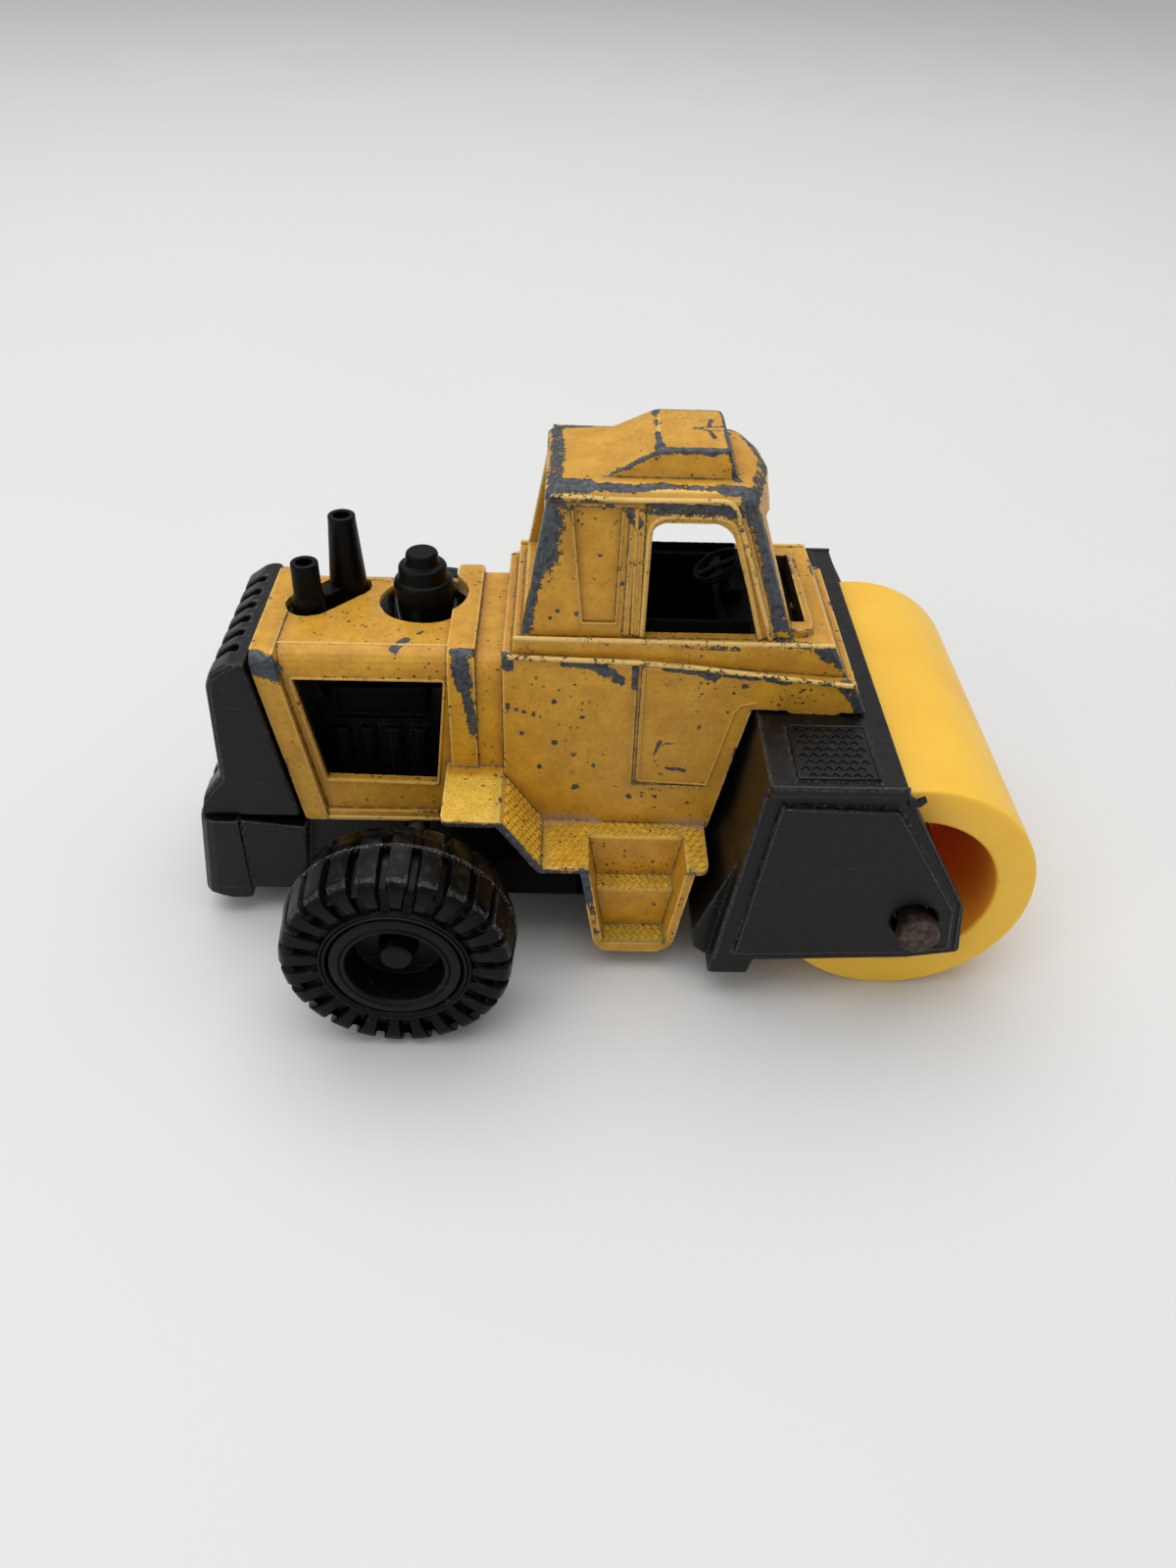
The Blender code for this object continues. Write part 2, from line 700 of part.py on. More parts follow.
def make_engine():
    """Engine block with a rocker cover and cylinder bulges, clear of the wheel axle."""
    engine = box("engine", (-11.6, -5.2, 16.2), (3.0, 5.2, 27.0))
    parts = [
        box("leg", (-10.8, -4.6, TUB_FLOOR + GAP), (-7.2, 4.6, 18.0)),
        box("head", (-10.0, -4.2, 26.0), (1.4, 4.2, 31.0)),
        box("cover", (-11.0, -2.6, 30.0), (3.2, 2.6, 33.0)),
        rod("fan_boss", 4.0, (-13.4, 0, 22.0), (-11.0, 0, 22.0), 20),
    ]
    for i in range(4):
        x = -9.4 + 3.3 * i
        for side in (-1, 1):
            parts.append(rod("bulge", 1.25, (x, side * 5.2, 18.4), (x, side * 5.2, 26.2), 10))
    combine(engine, parts, "UNION")
    return finish(engine, "engine_block", BLACK, 0.5)


def make_stacks():
    """Short and tall exhaust stacks on one web, bored at the top."""
    foot = 33.3
    up = (0, 0, 1)
    outside = [(0, foot), (2.1, foot), (2.1, 40.5), (1.75, 41.2), (1.7, 45.6)]
    inside = [(1.0, 45.6), (1.0, 42.0), (0, 42.0)]
    short = turned("short", outside + inside, up, (*STACK_SHORT, 0), 20, closed=False)
    outside = [(0, foot), (2.3, foot), (2.3, 41.0), (1.7, 49.0), (1.7, 49.6)]
    inside = [(1.0, 49.6), (1.0, 44.0), (0, 44.0)]
    tall = turned("tall", outside + inside, up, (*STACK_TALL, 0), 20, closed=False)
    a, b = Vector(STACK_SHORT), Vector(STACK_TALL)
    side = Vector((a.y - b.y, b.x - a.x)).normalized() * 1.1
    plan = (a + side, b + side, b - side, a - side)
    web = loft("web", [[(p.x, p.y, z) for p in plan] for z in (foot, 40.6)])
    foot_pad = box("foot_pad", (-12.4, -1.6, foot), (-8.2, 4.2, 36.4))
    combine(short, [tall, web, foot_pad], "UNION")
    return finish(short, "exhaust_stacks", BLACK, 0.45)


def make_cleaner():
    """Three-tier air cleaner that stands on the engine."""
    profile = [
        (0, 33.3),
        (2.2, 33.3),
        (2.2, 36.0),
        (3.4, 37.0),
        (3.75, 42.4),
        (3.5, 42.9),
        (3.1, 43.1),
        (3.0, 44.6),
        (2.7, 44.9),
        (2.1, 45.0),
        (2.0, 46.3),
        (1.7, 46.6),
        (0, 46.6),
    ]
    cleaner = turned("cleaner", profile, (0, 0, 1), (*CLEANER_XY, 0), 28, closed=False)
    return finish(cleaner, "air_precleaner", BLACK, 0.4)


def make_cab_interior():
    """Open tub that lines the cab past its sills, with a dash under the windscreen."""
    line = [(15.6, 27.0), (36.4, 27.0), (38.8, 36.8), (43.0, 41.0), (43.0, 44.2), (15.6, 44.2)]
    tub = across("cab_tub", line, 9.2)
    space = [(16.6, 28.2), (35.4, 28.2), (36.6, 38.0), (36.8, 46.0), (16.6, 46.0)]
    nose = box("nose", (42.0, -7.8, 41.6), (46.2, 7.8, 43.2))
    step = box("step", (37.6, -12.0, 43.0), (50.0, 12.0, 46.0))
    combine(tub, [nose], "UNION")
    combine(tub, [across("tub_space", space, 8.2), step], "DIFFERENCE")
    return finish(tub, "cab_interior", BLACK, 0.55)


def make_seat():
    side_line = [(20.4, 28.5), (29.0, 28.5), (29.6, 35.6), (24.0, 35.0), (22.4, 46.4), (20.0, 46.4)]
    seat = across("seat", side_line, 4.2)
    round_edges(seat, lambda a, b: abs(a.y - b.y) < 0.1 and max(a.z, b.z) > 35, 0.8, 2)
    return finish(seat, "driver_seat", BLACK, 0.6)


def make_steering():
    """Steering wheel on a column that rises from the dash, tilted towards the seat."""
    turns = [math.tau * i / 8 for i in range(8)]
    rim = [(2.9 + 0.5 * math.cos(a), 0.5 * math.sin(a)) for a in turns]
    wheel = turned("steering", rim, (0, 0, 1), (0, 0, 0), 24)
    spokes = box("spokes", (-2.8, -0.5, -0.4), (2.8, 0.5, 0.25))
    cross_spoke = box("cross_spoke", (-0.45, -2.8, -0.35), (0.45, 2.8, 0.2))
    column = rod("column", 0.7, (0, 0, -3.4), (0, 0, 0.4), 12)
    combine(wheel, [spokes, cross_spoke, column], "UNION")
    wheel.data.transform(Matrix.Rotation(math.radians(-28), 4, "Y"))
    wheel.data.transform(Matrix.Translation((37.2 * MM, 0, 46.9 * MM)))
    foot = box("foot", (37.8, -1.3, 43.3), (40.4, 1.3, 44.5))
    combine(wheel, [foot], "UNION")
    return finish(wheel, "steering_wheel", BLACK, 0.5)


def make_rivet(name, x, z_seat, z_end):
    """Round-headed rivet pushed up from below into a post."""
    head = [(0, z_seat - 0.9), (1.5, z_seat - 0.8), (2.3, z_seat - 0.1), (2.3, z_seat)]
    profile = head + [(0.8, z_seat), (0.8, z_end), (0, z_end)]
    rivet = turned(name, profile, (0, 0, 1), (x, 0, 0), 16, closed=False)
    return finish(rivet, name, STEEL, 0.45, 0.9)


def place_all():
    """Parents every piece to one empty that puts the origin under the toy's middle."""
    origin = bpy.data.objects.new("toy_origin", None)
    origin.location = (ORIGIN_X * MM, 0, 0)
    bpy.context.collection.objects.link(origin)
    for obj in bpy.data.objects:
        if obj.type == "MESH":
            obj.parent = origin


clear_scene()
make_body()
make_grille()
make_base()
make_drum_frame()
make_drum()
make_drum_axle()
make_wheels()
make_engine()
make_stacks()
make_cleaner()
make_cab_interior()
make_seat()
make_steering()
make_rivet("base_rivet", BASE_RIVET_X, TUB_FOOT - GAP / 3, 13.0)
make_rivet("frame_rivet", FRAME_RIVET_X, FRAME_TOP - FRAME_T - GAP, 39.5)
place_all()
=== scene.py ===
import math

import bmesh
import bpy
import numpy as np
from mathutils import Matrix, Vector
from mathutils.kdtree import KDTree


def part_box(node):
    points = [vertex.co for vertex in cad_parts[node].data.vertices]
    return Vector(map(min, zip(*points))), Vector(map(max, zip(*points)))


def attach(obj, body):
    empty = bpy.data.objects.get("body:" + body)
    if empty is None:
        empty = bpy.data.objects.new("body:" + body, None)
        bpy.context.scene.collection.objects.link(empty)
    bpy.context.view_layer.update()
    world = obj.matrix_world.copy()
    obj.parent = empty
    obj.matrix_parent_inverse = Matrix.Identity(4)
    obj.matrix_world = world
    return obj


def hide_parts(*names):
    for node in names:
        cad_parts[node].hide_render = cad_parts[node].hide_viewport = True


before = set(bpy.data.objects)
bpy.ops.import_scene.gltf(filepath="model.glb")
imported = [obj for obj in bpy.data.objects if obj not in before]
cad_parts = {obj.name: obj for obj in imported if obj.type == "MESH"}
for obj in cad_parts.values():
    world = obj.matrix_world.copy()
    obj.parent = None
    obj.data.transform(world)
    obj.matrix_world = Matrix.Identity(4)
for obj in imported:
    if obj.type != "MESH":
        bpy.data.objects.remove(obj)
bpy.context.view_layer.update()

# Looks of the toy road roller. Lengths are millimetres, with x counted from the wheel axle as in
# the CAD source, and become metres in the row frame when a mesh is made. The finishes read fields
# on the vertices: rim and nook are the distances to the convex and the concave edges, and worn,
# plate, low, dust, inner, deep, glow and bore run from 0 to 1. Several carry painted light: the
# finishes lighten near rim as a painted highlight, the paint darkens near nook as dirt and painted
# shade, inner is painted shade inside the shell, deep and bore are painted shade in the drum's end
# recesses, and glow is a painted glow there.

MM = 0.001
AXLE_LO, AXLE_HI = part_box("wheel_axle")
SHIFT = Vector(((AXLE_LO.x + AXLE_HI.x) / 2 / MM, 0, 0))
WHEEL_R = (AXLE_LO.z + AXLE_HI.z) / 2 / MM
AXLE_R = (AXLE_HI.z - AXLE_LO.z) / 2 / MM
AXLE_ROOM = 0.2  # kept clear round the turning axle
DRUM_LO, DRUM_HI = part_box("drum")
DRUM_R = DRUM_HI.z / 2 / MM
DRUM_X = (DRUM_LO.x + DRUM_HI.x) / 2 / MM - SHIFT.x
DRUM_HALF = DRUM_HI.y / MM
PIN_LO, PIN_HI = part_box("drum_axle")
PIN = (PIN_LO + PIN_HI) / 2 / MM - SHIFT
WHEEL_Y = 29.6  # middle of each wheel, from the toy's middle plane
YOKE_Y = 27.7  # outer face of the yoke's side plates
SIDES = ((-1, "right"), (1, "left"))
FAR = 99.0  # stands for a distance to nothing


# --- materials


class Look:
    """A node material under construction. Coordinates are in millimetres, in the piece's own space."""

    def __init__(self, name):
        self.material = bpy.data.materials.new(name)
        self.material.use_nodes = True
        self.tree = self.material.node_tree
        self.tree.nodes.clear()
        where = self.node("TexCoord")
        self.coord = self.vector("SCALE", where.outputs["Object"], scale=1 / MM)
        self.normal = where.outputs["Normal"]

    def put(self, socket, value):
        """Links an output to the socket, or sets its value; a colour may come without its alpha."""
        if isinstance(value, bpy.types.NodeSocket):
            self.tree.links.new(value, socket)
        else:
            socket.default_value = (*value, 1.0)[:4] if socket.type == "RGBA" else value

    def node(self, kind, inputs={}, **settings):
        """A new node; inputs is a table of values or sockets by the input's name or number."""
        node = self.tree.nodes.new("ShaderNode" + kind)
        for name, value in settings.items():
            setattr(node, name, value)
        for key, value in inputs.items():
            self.put(node.inputs[key], value)
        return node

    def vector(self, operation, a, b=(0, 0, 0), scale=1.0):
        return self.node("VectorMath", {0: a, 1: b, 3: scale}, operation=operation).outputs["Vector"]

    def math(self, operation, a, b=0.0, clamp=False):
        return self.node("Math", {0: a, 1: b}, operation=operation, use_clamp=clamp).outputs[0]

    def add(self, *terms):
        total = terms[0]
        for term in terms[1:]:
            total = self.math("ADD", total, term)
        return total

    def times(self, a, b):
        return self.math("MULTIPLY", a, b)

    def most(self, a, b, clamp=False):
        return self.math("MAXIMUM", a, b, clamp)

    def ramp(self, value, low, high, out_low=0.0, out_high=1.0):
        """Smooth step from out_low at low to out_high at high."""
        inputs = dict(enumerate((value, low, high, out_low, out_high)))
        return self.node("MapRange", inputs, interpolation_type="SMOOTHSTEP").outputs[0]

    def noise(self, scale, detail=3.0, rough=0.55, offset=0.0, stretch=None):
        """Noise from 0 to 1; scale is in features per millimetre."""
        coord = self.coord
        if stretch:
            coord = self.vector("MULTIPLY", coord, stretch)
        if offset:
            coord = self.vector("ADD", coord, (offset, offset * 0.7, -offset))
        inputs = {"Vector": coord, "Scale": scale, "Detail": detail, "Roughness": rough}
        return self.node("TexNoise", inputs).outputs["Fac"]

    def spots(self, scale, share, radius, offset=0.0, warp=0.6):
        """Ragged dots: a share of the cells of that scale have one, up to the radius in size."""
        coord = self.vector("ADD", self.coord, (offset, offset, offset))
        wobble = self.node("TexNoise", {"Vector": coord, "Scale": scale * 2.5})
        shift = self.vector("SUBTRACT", wobble.outputs["Color"], (0.5, 0.5, 0.5))
        coord = self.vector("ADD", coord, self.vector("SCALE", shift, scale=warp))
        cells = self.node("TexVoronoi", {"Vector": coord, "Scale": scale})
        chance = self.node("SeparateColor", {0: cells.outputs["Color"]}).outputs[0]
        distance = self.math("DIVIDE", cells.outputs["Distance"], scale)
        size = self.ramp(chance, 1.0 - share, 1.0, 0.0, radius)
        return self.math("MULTIPLY", self.math("SUBTRACT", size, distance), 9.0, clamp=True)

    def attribute(self, name):
        return self.node("Attribute", attribute_name=name).outputs["Fac"]

    def upward(self):
        return self.node("SeparateXYZ", {0: self.normal}).outputs["Z"]

    def mix(self, share, a, b):
        """Colour a, or b where the share is 1."""
        return self.node("Mix", {"Factor": share, 6: a, 7: b}, data_type="RGBA").outputs[2]

    def blend(self, share, a, b):
        """Number a, or b where the share is 1."""
        return self.node("Mix", {"Factor": share, 2: a, 3: b}).outputs[0]

    def finish(self, colour, roughness, height, metallic=0.0, depth=0.05, **more):
        """Closes the tree with a Principled shader; height is in units of depth millimetres."""
        inputs = {"Base Color": colour, "Roughness": roughness, "Metallic": metallic}
        inputs.update({name.replace("_", " "): value for name, value in more.items()})
        if height is not None:
            bump = self.node("Bump", {"Distance": depth * MM, "Height": height})
            inputs["Normal"] = bump.outputs[0]
        shader = self.node("BsdfPrincipled", inputs)
        self.node("OutputMaterial", {0: shader.outputs[0]})
        return self.material


def paint_look(name, body, shade, grime_and_crease_shade, edge_highlight=0.60, flake=0.0):
    """Worn enamel on a zinc casting: ragged chips along edges, dots, dirt and painted shade in corners and creases,
    painted highlights along edges, painted shade inside the shell.
    """
    look = Look(name)
    add, times, ramp, noise, mix = look.add, look.times, look.ramp, look.noise, look.mix
    most, spots, blend = look.most, look.spots, look.blend
    rim, nook, worn, plate, dust, inner = map(look.attribute, ("rim", "nook", "worn", "plate", "dust", "inner"))
    # bare metal: patches where the casting is worn, a broken line along its edges, and dots
    wide = ramp(noise(0.38, 3.0, 0.5, offset=1.0), 0.34, 0.66, -0.5, 0.5)
    small = ramp(noise(1.1, 6.0, 0.7, offset=2.0), 0.34, 0.66, -0.5, 0.5)
    tiny = ramp(noise(4.2, 3.0, 0.6, offset=4.0), 0.32, 0.68, -0.5, 0.5)
    ragged = add(times(wide, 0.40), times(small, 0.60), times(tiny, 0.42))
    near_rim = times(look.math("MINIMUM", rim, 1.0), -0.22)
    patch = add(times(worn, 1.5), times(ragged, 1.15), near_rim, -0.62)
    broad = ramp(noise(0.13, 2.0, 0.5, offset=31.0), 0.42, 0.68, -0.55, 0.14)
    edge = add(broad, times(rim, -1.0), times(small, 0.38), times(tiny, 0.26), flake)
    chip = most(times(patch, 9.0), times(edge, 16.0), clamp=True)
    region = ramp(noise(0.09, 2.0, 0.5, offset=7.0), 0.46, 0.60)
    region = most(region, ramp(worn, 0.02, 0.15))
    dots = times(spots(0.55, 0.30, 0.36), blend(region, 0.12, 1.0))
    bare = most(chip, dots, clamp=True)
    pits = most(spots(1.25, 0.20, 0.26, offset=5.0), spots(2.2, 0.14, 0.26, offset=6.0))
    pits = times(pits, blend(ramp(noise(0.12, 3.0, 0.5, offset=9.0), 0.44, 0.58), 0.18, 1.0))
    halo = ramp(most(patch, edge), -0.16, 0.0, 0.0, 0.75)
    # enamel: mottled ochre, a lemon tone on the treads, olive lower down, then dirt, stains, painted shade in
    # creases and corners, a painted highlight on edges and painted shade inside
    mottled = noise(0.30, 5.0, 0.6, offset=3.0)
    coat = mix(ramp(mottled, 0.3, 0.72), body, shade)
    granular = noise(4.2, 4.0, 0.7, offset=12.0)
    low = look.attribute("low")
    plate = times(plate, ramp(look.upward(), 0.35, 0.6))
    grains = times(ramp(granular, 0.46, 0.62), blend(low, 0.60, 1.30))
    lemon = mix(grains, (1.0, 0.64, 0.085), (0.30, 0.20, 0.02))
    lemon = mix(ramp(noise(0.5, 4.0, 0.6, offset=13.0), 0.35, 0.7, 0.0, 0.4), lemon, body)
    coat = mix(plate, coat, lemon)
    fine = noise(3.4, 3.0, 0.6, offset=11.0)
    coat = mix(ramp(fine, 0.55, 0.72, 0.0, 0.34), coat, grime_and_crease_shade)
    speckle = ramp(noise(1.3, 6.0, 0.72, offset=33.0), 0.46, 0.66, 0.0, 0.42)
    coat = mix(speckle, coat, (0.43, 0.215, 0.03))
    # painted highlight: the coat turns pale yellow along convex edges, strongest where rim is small
    lip = ramp(add(rim, times(tiny, 0.12)), 0.02, 0.34, edge_highlight, 0.0)
    coat = mix(lip, coat, (0.90, 0.60, 0.19))
    # dirt and painted shade: a dark line in the concave creases, and a broader darkening within 1.5 mm of them
    crack = ramp(add(nook, times(small, 0.16)), 0.05, 0.30, 0.82, 0.0)
    coat = mix(crack, coat, grime_and_crease_shade)
    coat = mix(ramp(nook, 0.0, 1.5, 0.22, 0.0), coat, grime_and_crease_shade)
    # the plates go olive: darker towards the lower steps and near concave corners
    olive = most(ramp(nook, 0.0, 1.6, 0.55, 0.0), ramp(low, 0.0, 1.0))
    coat = mix(times(times(olive, plate), 0.75), coat, (0.20, 0.18, 0.045))
    stain = ramp(noise(0.22, 4.0, 0.62, offset=17.0), 0.52, 0.74, 0.0, 0.30)
    coat = mix(stain, coat, (0.40, 0.19, 0.02))
    coat = mix(halo, coat, (0.085, 0.055, 0.025))
    pores = spots(2.6, 0.10, 0.13, offset=21.0, warp=0.3)
    coat = mix(most(pits, times(pores, 0.8)), coat, (0.035, 0.022, 0.014))
    powder = ramp(noise(2.8, 5.0, 0.75, offset=29.0), 0.42, 0.60)
    coat = mix(times(powder, dust), coat, (0.47, 0.37, 0.30))
    # painted shade: the coat goes near black where inner is set, and no bare metal shows there
    coat = mix(times(inner, 0.94), coat, (0.020, 0.014, 0.008))
    cloudy = ramp(noise(1.5, 5.0, 0.65, offset=23.0), 0.3, 0.7)
    zinc = mix(cloudy, (0.028, 0.034, 0.042), (0.10, 0.112, 0.128))
    bare = times(bare, blend(inner, 1.0, 0.0))
    rough = add(blend(bare, ramp(mottled, 0.3, 0.8, 0.33, 0.46), 0.48), times(plate, 0.15))
    height = add(times(bare, -1.0), times(times(mottled, blend(bare, 1.0, 0.25)), 0.6))
    height = add(height, times(fine, 0.12), times(pits, -0.5), times(times(granular, plate), 0.9))
    metallic = times(bare, 0.30)
    return look.finish(mix(bare, coat, zinc), rough, height, metallic, depth=0.07, Specular_IOR_Level=0.34)


def black_look(name, base, rough, dust, edge, shine, tint=(1.0, 0.98, 1.04)):
    """Moulded black plastic with edges worn pale by rubbing and lightened as a painted highlight, fine scratches and
    dust.
    """
    look = Look(name)
    add, times, ramp, noise, mix = look.add, look.times, look.ramp, look.noise, look.mix
    rim, nook = look.attribute("rim"), look.attribute("nook")
    dark = tuple(base * t for t in tint)
    pale = tuple(base * 2.0 * t for t in tint)
    cloud = noise(0.30, 5.0, 0.6)
    colour = mix(ramp(cloud, 0.35, 0.8), dark, pale)
    grain = noise(2.6, 4.0, 0.65, offset=9.0)
    uneven = times(look.math("SUBTRACT", grain, 0.5), 0.7)
    # pale edges: partly wear from rubbing, partly a painted highlight along convex edges; edge sets how strong
    rubbed_and_highlight = ramp(add(rim, uneven), 0.0, 0.22, 0.55 * edge, 0.0)
    colour = mix(rubbed_and_highlight, colour, (0.055, 0.055, 0.06))
    scratch = noise(1.1, 2.0, 0.5, offset=41.0, stretch=(0.12, 1.0, 1.6))
    fine = ramp(scratch, 0.70, 0.74)
    colour = mix(times(fine, 0.10 * edge), colour, (0.12, 0.12, 0.12))
    specks = look.spots(1.5, 0.16, 0.16, offset=3.0, warp=0.3)
    specks = times(specks, ramp(nook, 0.0, 1.2, 0.8 * dust, 0.12 * dust))
    colour = mix(specks, colour, (0.26, 0.25, 0.22))
    chalk = ramp(noise(3.6, 5.0, 0.75, offset=27.0), 0.52, 0.62)
    chalk = times(chalk, ramp(nook, 0.0, 0.7, 0.45 * dust, 0.0))
    colour = mix(chalk, colour, (0.20, 0.19, 0.17))
    film = ramp(noise(0.7, 5.0, 0.6, offset=15.0), 0.45, 0.8)
    film = times(ramp(look.upward(), 0.2, 1.0), film)
    colour = mix(times(film, 0.05 * dust), colour, (0.20, 0.19, 0.17))
    roughness = add(rough - 0.08, times(cloud, 0.18), times(specks, 0.3))
    height = add(times(grain, 0.35), times(cloud, 0.8), times(fine, -0.2))
    return look.finish(colour, roughness, height, depth=0.05, Specular_IOR_Level=shine)


def drum_look():
    """Smooth yellow plastic that lets some light in, with painted shade deeper in the end recesses, near black round
    the hub tube, and a faint painted glow.
    """
    look = Look("drum_plastic")
    times, ramp, noise, mix = look.times, look.ramp, look.noise, look.mix
    deep = look.attribute("deep")
    cloud = noise(0.10, 4.0, 0.5)
    colour = mix(ramp(cloud, 0.3, 0.8), (0.97, 0.575, 0.045), (0.93, 0.50, 0.032))
    # painted shade: dark orange deepening into the end recesses, near black round the hub tube
    colour = mix(deep, colour, (0.95, 0.21, 0.025))
    colour = mix(times(look.attribute("bore"), 0.93), colour, (0.05, 0.018, 0.006))
    scuff = noise(0.8, 5.0, 0.65, offset=5.0, stretch=(1.0, 0.15, 1.0))
    scuffed = ramp(scuff, 0.62, 0.80, 0.0, 0.35)
    colour = mix(scuffed, colour, (0.70, 0.40, 0.08))
    specks = times(look.spots(0.5, 0.07, 0.22, offset=8.0), 0.55)
    colour = mix(specks, colour, (0.25, 0.13, 0.03))
    rough = look.add(0.36, times(scuff, 0.16))
    height = look.add(times(cloud, 2.0), times(scuff, 0.15))
    glow = dict(Subsurface_Weight=0.35, Subsurface_Radius=(0.004, 0.0018, 0.0005), Subsurface_Scale=1.0)
    # painted glow: a faint orange emission in the end recesses, standing in for light passing through the plastic
    glow.update(Emission_Color=(1.0, 0.12, 0.02, 1.0), Emission_Strength=times(look.attribute("glow"), 0.022))
    return look.finish(colour, rough, height, depth=0.05, **glow)


def steel_look(name, bright, dark):
    """Tarnished steel with stains."""
    look = Look(name)
    times, ramp, noise, mix = look.times, look.ramp, look.noise, look.mix
    cloud = noise(0.9, 5.0, 0.65)
    streak = noise(2.4, 4.0, 0.6, offset=6.0)
    colour = mix(ramp(cloud, 0.35, 0.7), dark, bright)
    colour = mix(ramp(streak, 0.6, 0.8, 0.0, 0.5), colour, (0.05, 0.03, 0.02))
    rough = look.add(0.38, times(cloud, 0.3))
    height = look.add(cloud, times(streak, 0.4))
    return look.finish(colour, rough, height, 0.75, depth=0.09)


# dark colour used for dirt and also as painted shade along creases and in corners
GRIME_AND_CREASE_SHADE = (0.075, 0.05, 0.018)
LOOKS = {
    "paint": paint_look("ochre_paint", (0.70, 0.362, 0.030), (0.56, 0.268, 0.018), GRIME_AND_CREASE_SHADE),
    "trim": paint_look("trim_paint", (0.72, 0.380, 0.034), (0.62, 0.31, 0.022), GRIME_AND_CREASE_SHADE, 0.95, -0.24),
    "tread_paint": paint_look("tread_paint", (0.98, 0.60, 0.05), (0.70, 0.42, 0.03), (0.06, 0.05, 0.015)),
    "black": black_look("black_plastic", 0.0020, 0.34, 1.2, 1.3, 0.27),
    # painted shade: the engine and cab plastics are darker, duller copies of the black plastic, for pieces that sit
    # in shade
    "shaded_engine_black": black_look("engine_plastic_painted_shade", 0.0016, 0.5, 0.5, 0.2, 0.10),
    "stack_black": black_look("stack_plastic", 0.0010, 0.38, 0.4, 0.5, 0.11),
    "cab_black": black_look("cab_plastic_painted_shade", 0.0010, 0.5, 0.1, 0.08, 0.05),
    "hub_black": black_look("hub_plastic", 0.0014, 0.38, 0.3, 1.3, 0.16),
    "tyre": black_look("tyre_rubber", 0.0007, 0.34, 2.2, 1.7, 0.13, (1.0, 0.98, 1.0)),
    "drum": drum_look(),
    "pin": steel_look("pin_steel", (0.12, 0.085, 0.07), (0.03, 0.02, 0.016)),
    "steel": steel_look("plain_steel", (0.10, 0.095, 0.09), (0.04, 0.037, 0.035)),
}


# --- mesh helpers


def cad_mesh(node):
    """The node's solid as a bmesh in part millimetres, welded."""
    bm = bmesh.new()
    bm.from_mesh(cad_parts[node].data)
    bmesh.ops.scale(bm, vec=(1 / MM, 1 / MM, 1 / MM), verts=bm.verts)
    bmesh.ops.translate(bm, vec=-SHIFT, verts=bm.verts)
    bmesh.ops.remove_doubles(bm, verts=bm.verts, dist=0.004)
    bmesh.ops.dissolve_degenerate(bm, edges=bm.edges, dist=0.002)
    bmesh.ops.recalc_face_normals(bm, faces=bm.faces)
    return bm


def creases(bm, ridge, hollow):
    """Points every quarter millimetre along the convex and the concave edges that bend by those degrees."""
    convex, concave = [], []
    for edge in bm.edges:
        bend = edge.calc_face_angle_signed(0.0) if len(edge.link_faces) == 2 else 0.0
        if abs(bend) < math.radians(ridge if bend > 0 else hollow):
            continue
        a, b = edge.verts[0].co, edge.verts[1].co
        steps = max(1, int((b - a).length / 0.25))
        points = [a.lerp(b, i / steps) for i in range(steps + 1)]
        (convex if bend > 0 else concave).extend(points)
    return convex, concave


def distances(sources, points):
    """Distance from each point to the nearest source."""
    if not sources:
        return np.full(len(points), FAR)
    tree = KDTree(len(sources))
    for i, p in enumerate(sources):
        tree.insert(p, i)
    tree.balance()
    return np.array([tree.find(p)[2] for p in points])


def arrays(bm):
    """Points and triangles of a bmesh as arrays."""
    bmesh.ops.triangulate(bm, faces=bm.faces)
    bm.verts.ensure_lookup_table()
    bm.verts.index_update()
    points = np.array([v.co[:] for v in bm.verts])
    tris = np.array([[v.index for v in f.verts] for f in bm.faces])
    bm.free()
    return points, tris


def edges_of(tris):
    """The edges of the triangles, and which of them each triangle's three sides are."""
    pairs = np.sort(np.concatenate([tris[:, [0, 1]], tris[:, [1, 2]], tris[:, [2, 0]]]), axis=1)
    return np.unique(pairs, axis=0, return_inverse=True)


def split_long(points, tris, away, measure, near, far, band):
    """One round of halving the edges that are longer than near, or than far outside the band."""
    edges, back = edges_of(tris)
    back = back.reshape(3, -1)
    length = np.linalg.norm(points[edges[:, 0]] - points[edges[:, 1]], axis=1)
    low = np.minimum(away[edges[:, 0]], away[edges[:, 1]]) - length / 2
    chosen = length > np.where(low < band, near, far)
    if not chosen.any():
        return points, tris, away, False
    middle = np.full(len(edges), -1)
    middle[chosen] = len(points) + np.arange(chosen.sum())
    halves = (points[edges[chosen, 0]] + points[edges[chosen, 1]]) / 2
    points = np.concatenate([points, halves])
    away = np.concatenate([away, measure(halves)])
    made = []
    marks = middle[back].T
    for turn in range(3):
        t, m = np.roll(tris, -turn, axis=1), np.roll(marks, -turn, axis=1)
        one = (m[:, 0] >= 0) & (m[:, 1] < 0) & (m[:, 2] < 0)
        (a, b, c), (ab, _, _) = t[one].T, m[one].T
        made += [np.c_[a, ab, c], np.c_[ab, b, c]]
        two = (m[:, 0] >= 0) & (m[:, 1] >= 0) & (m[:, 2] < 0)
        (a, b, c), (ab, bc, _) = t[two].T, m[two].T
        made += [np.c_[ab, b, bc], np.c_[a, ab, bc], np.c_[a, bc, c]]
    whole = (marks >= 0).all(axis=1)
    (a, b, c), (ab, bc, ca) = tris[whole].T, marks[whole].T
    made += [np.c_[a, ab, ca], np.c_[ab, b, bc], np.c_[ca, bc, c], np.c_[ab, bc, ca]]
    made.append(tris[(marks < 0).all(axis=1)])
    return points, np.concatenate(made), away, True


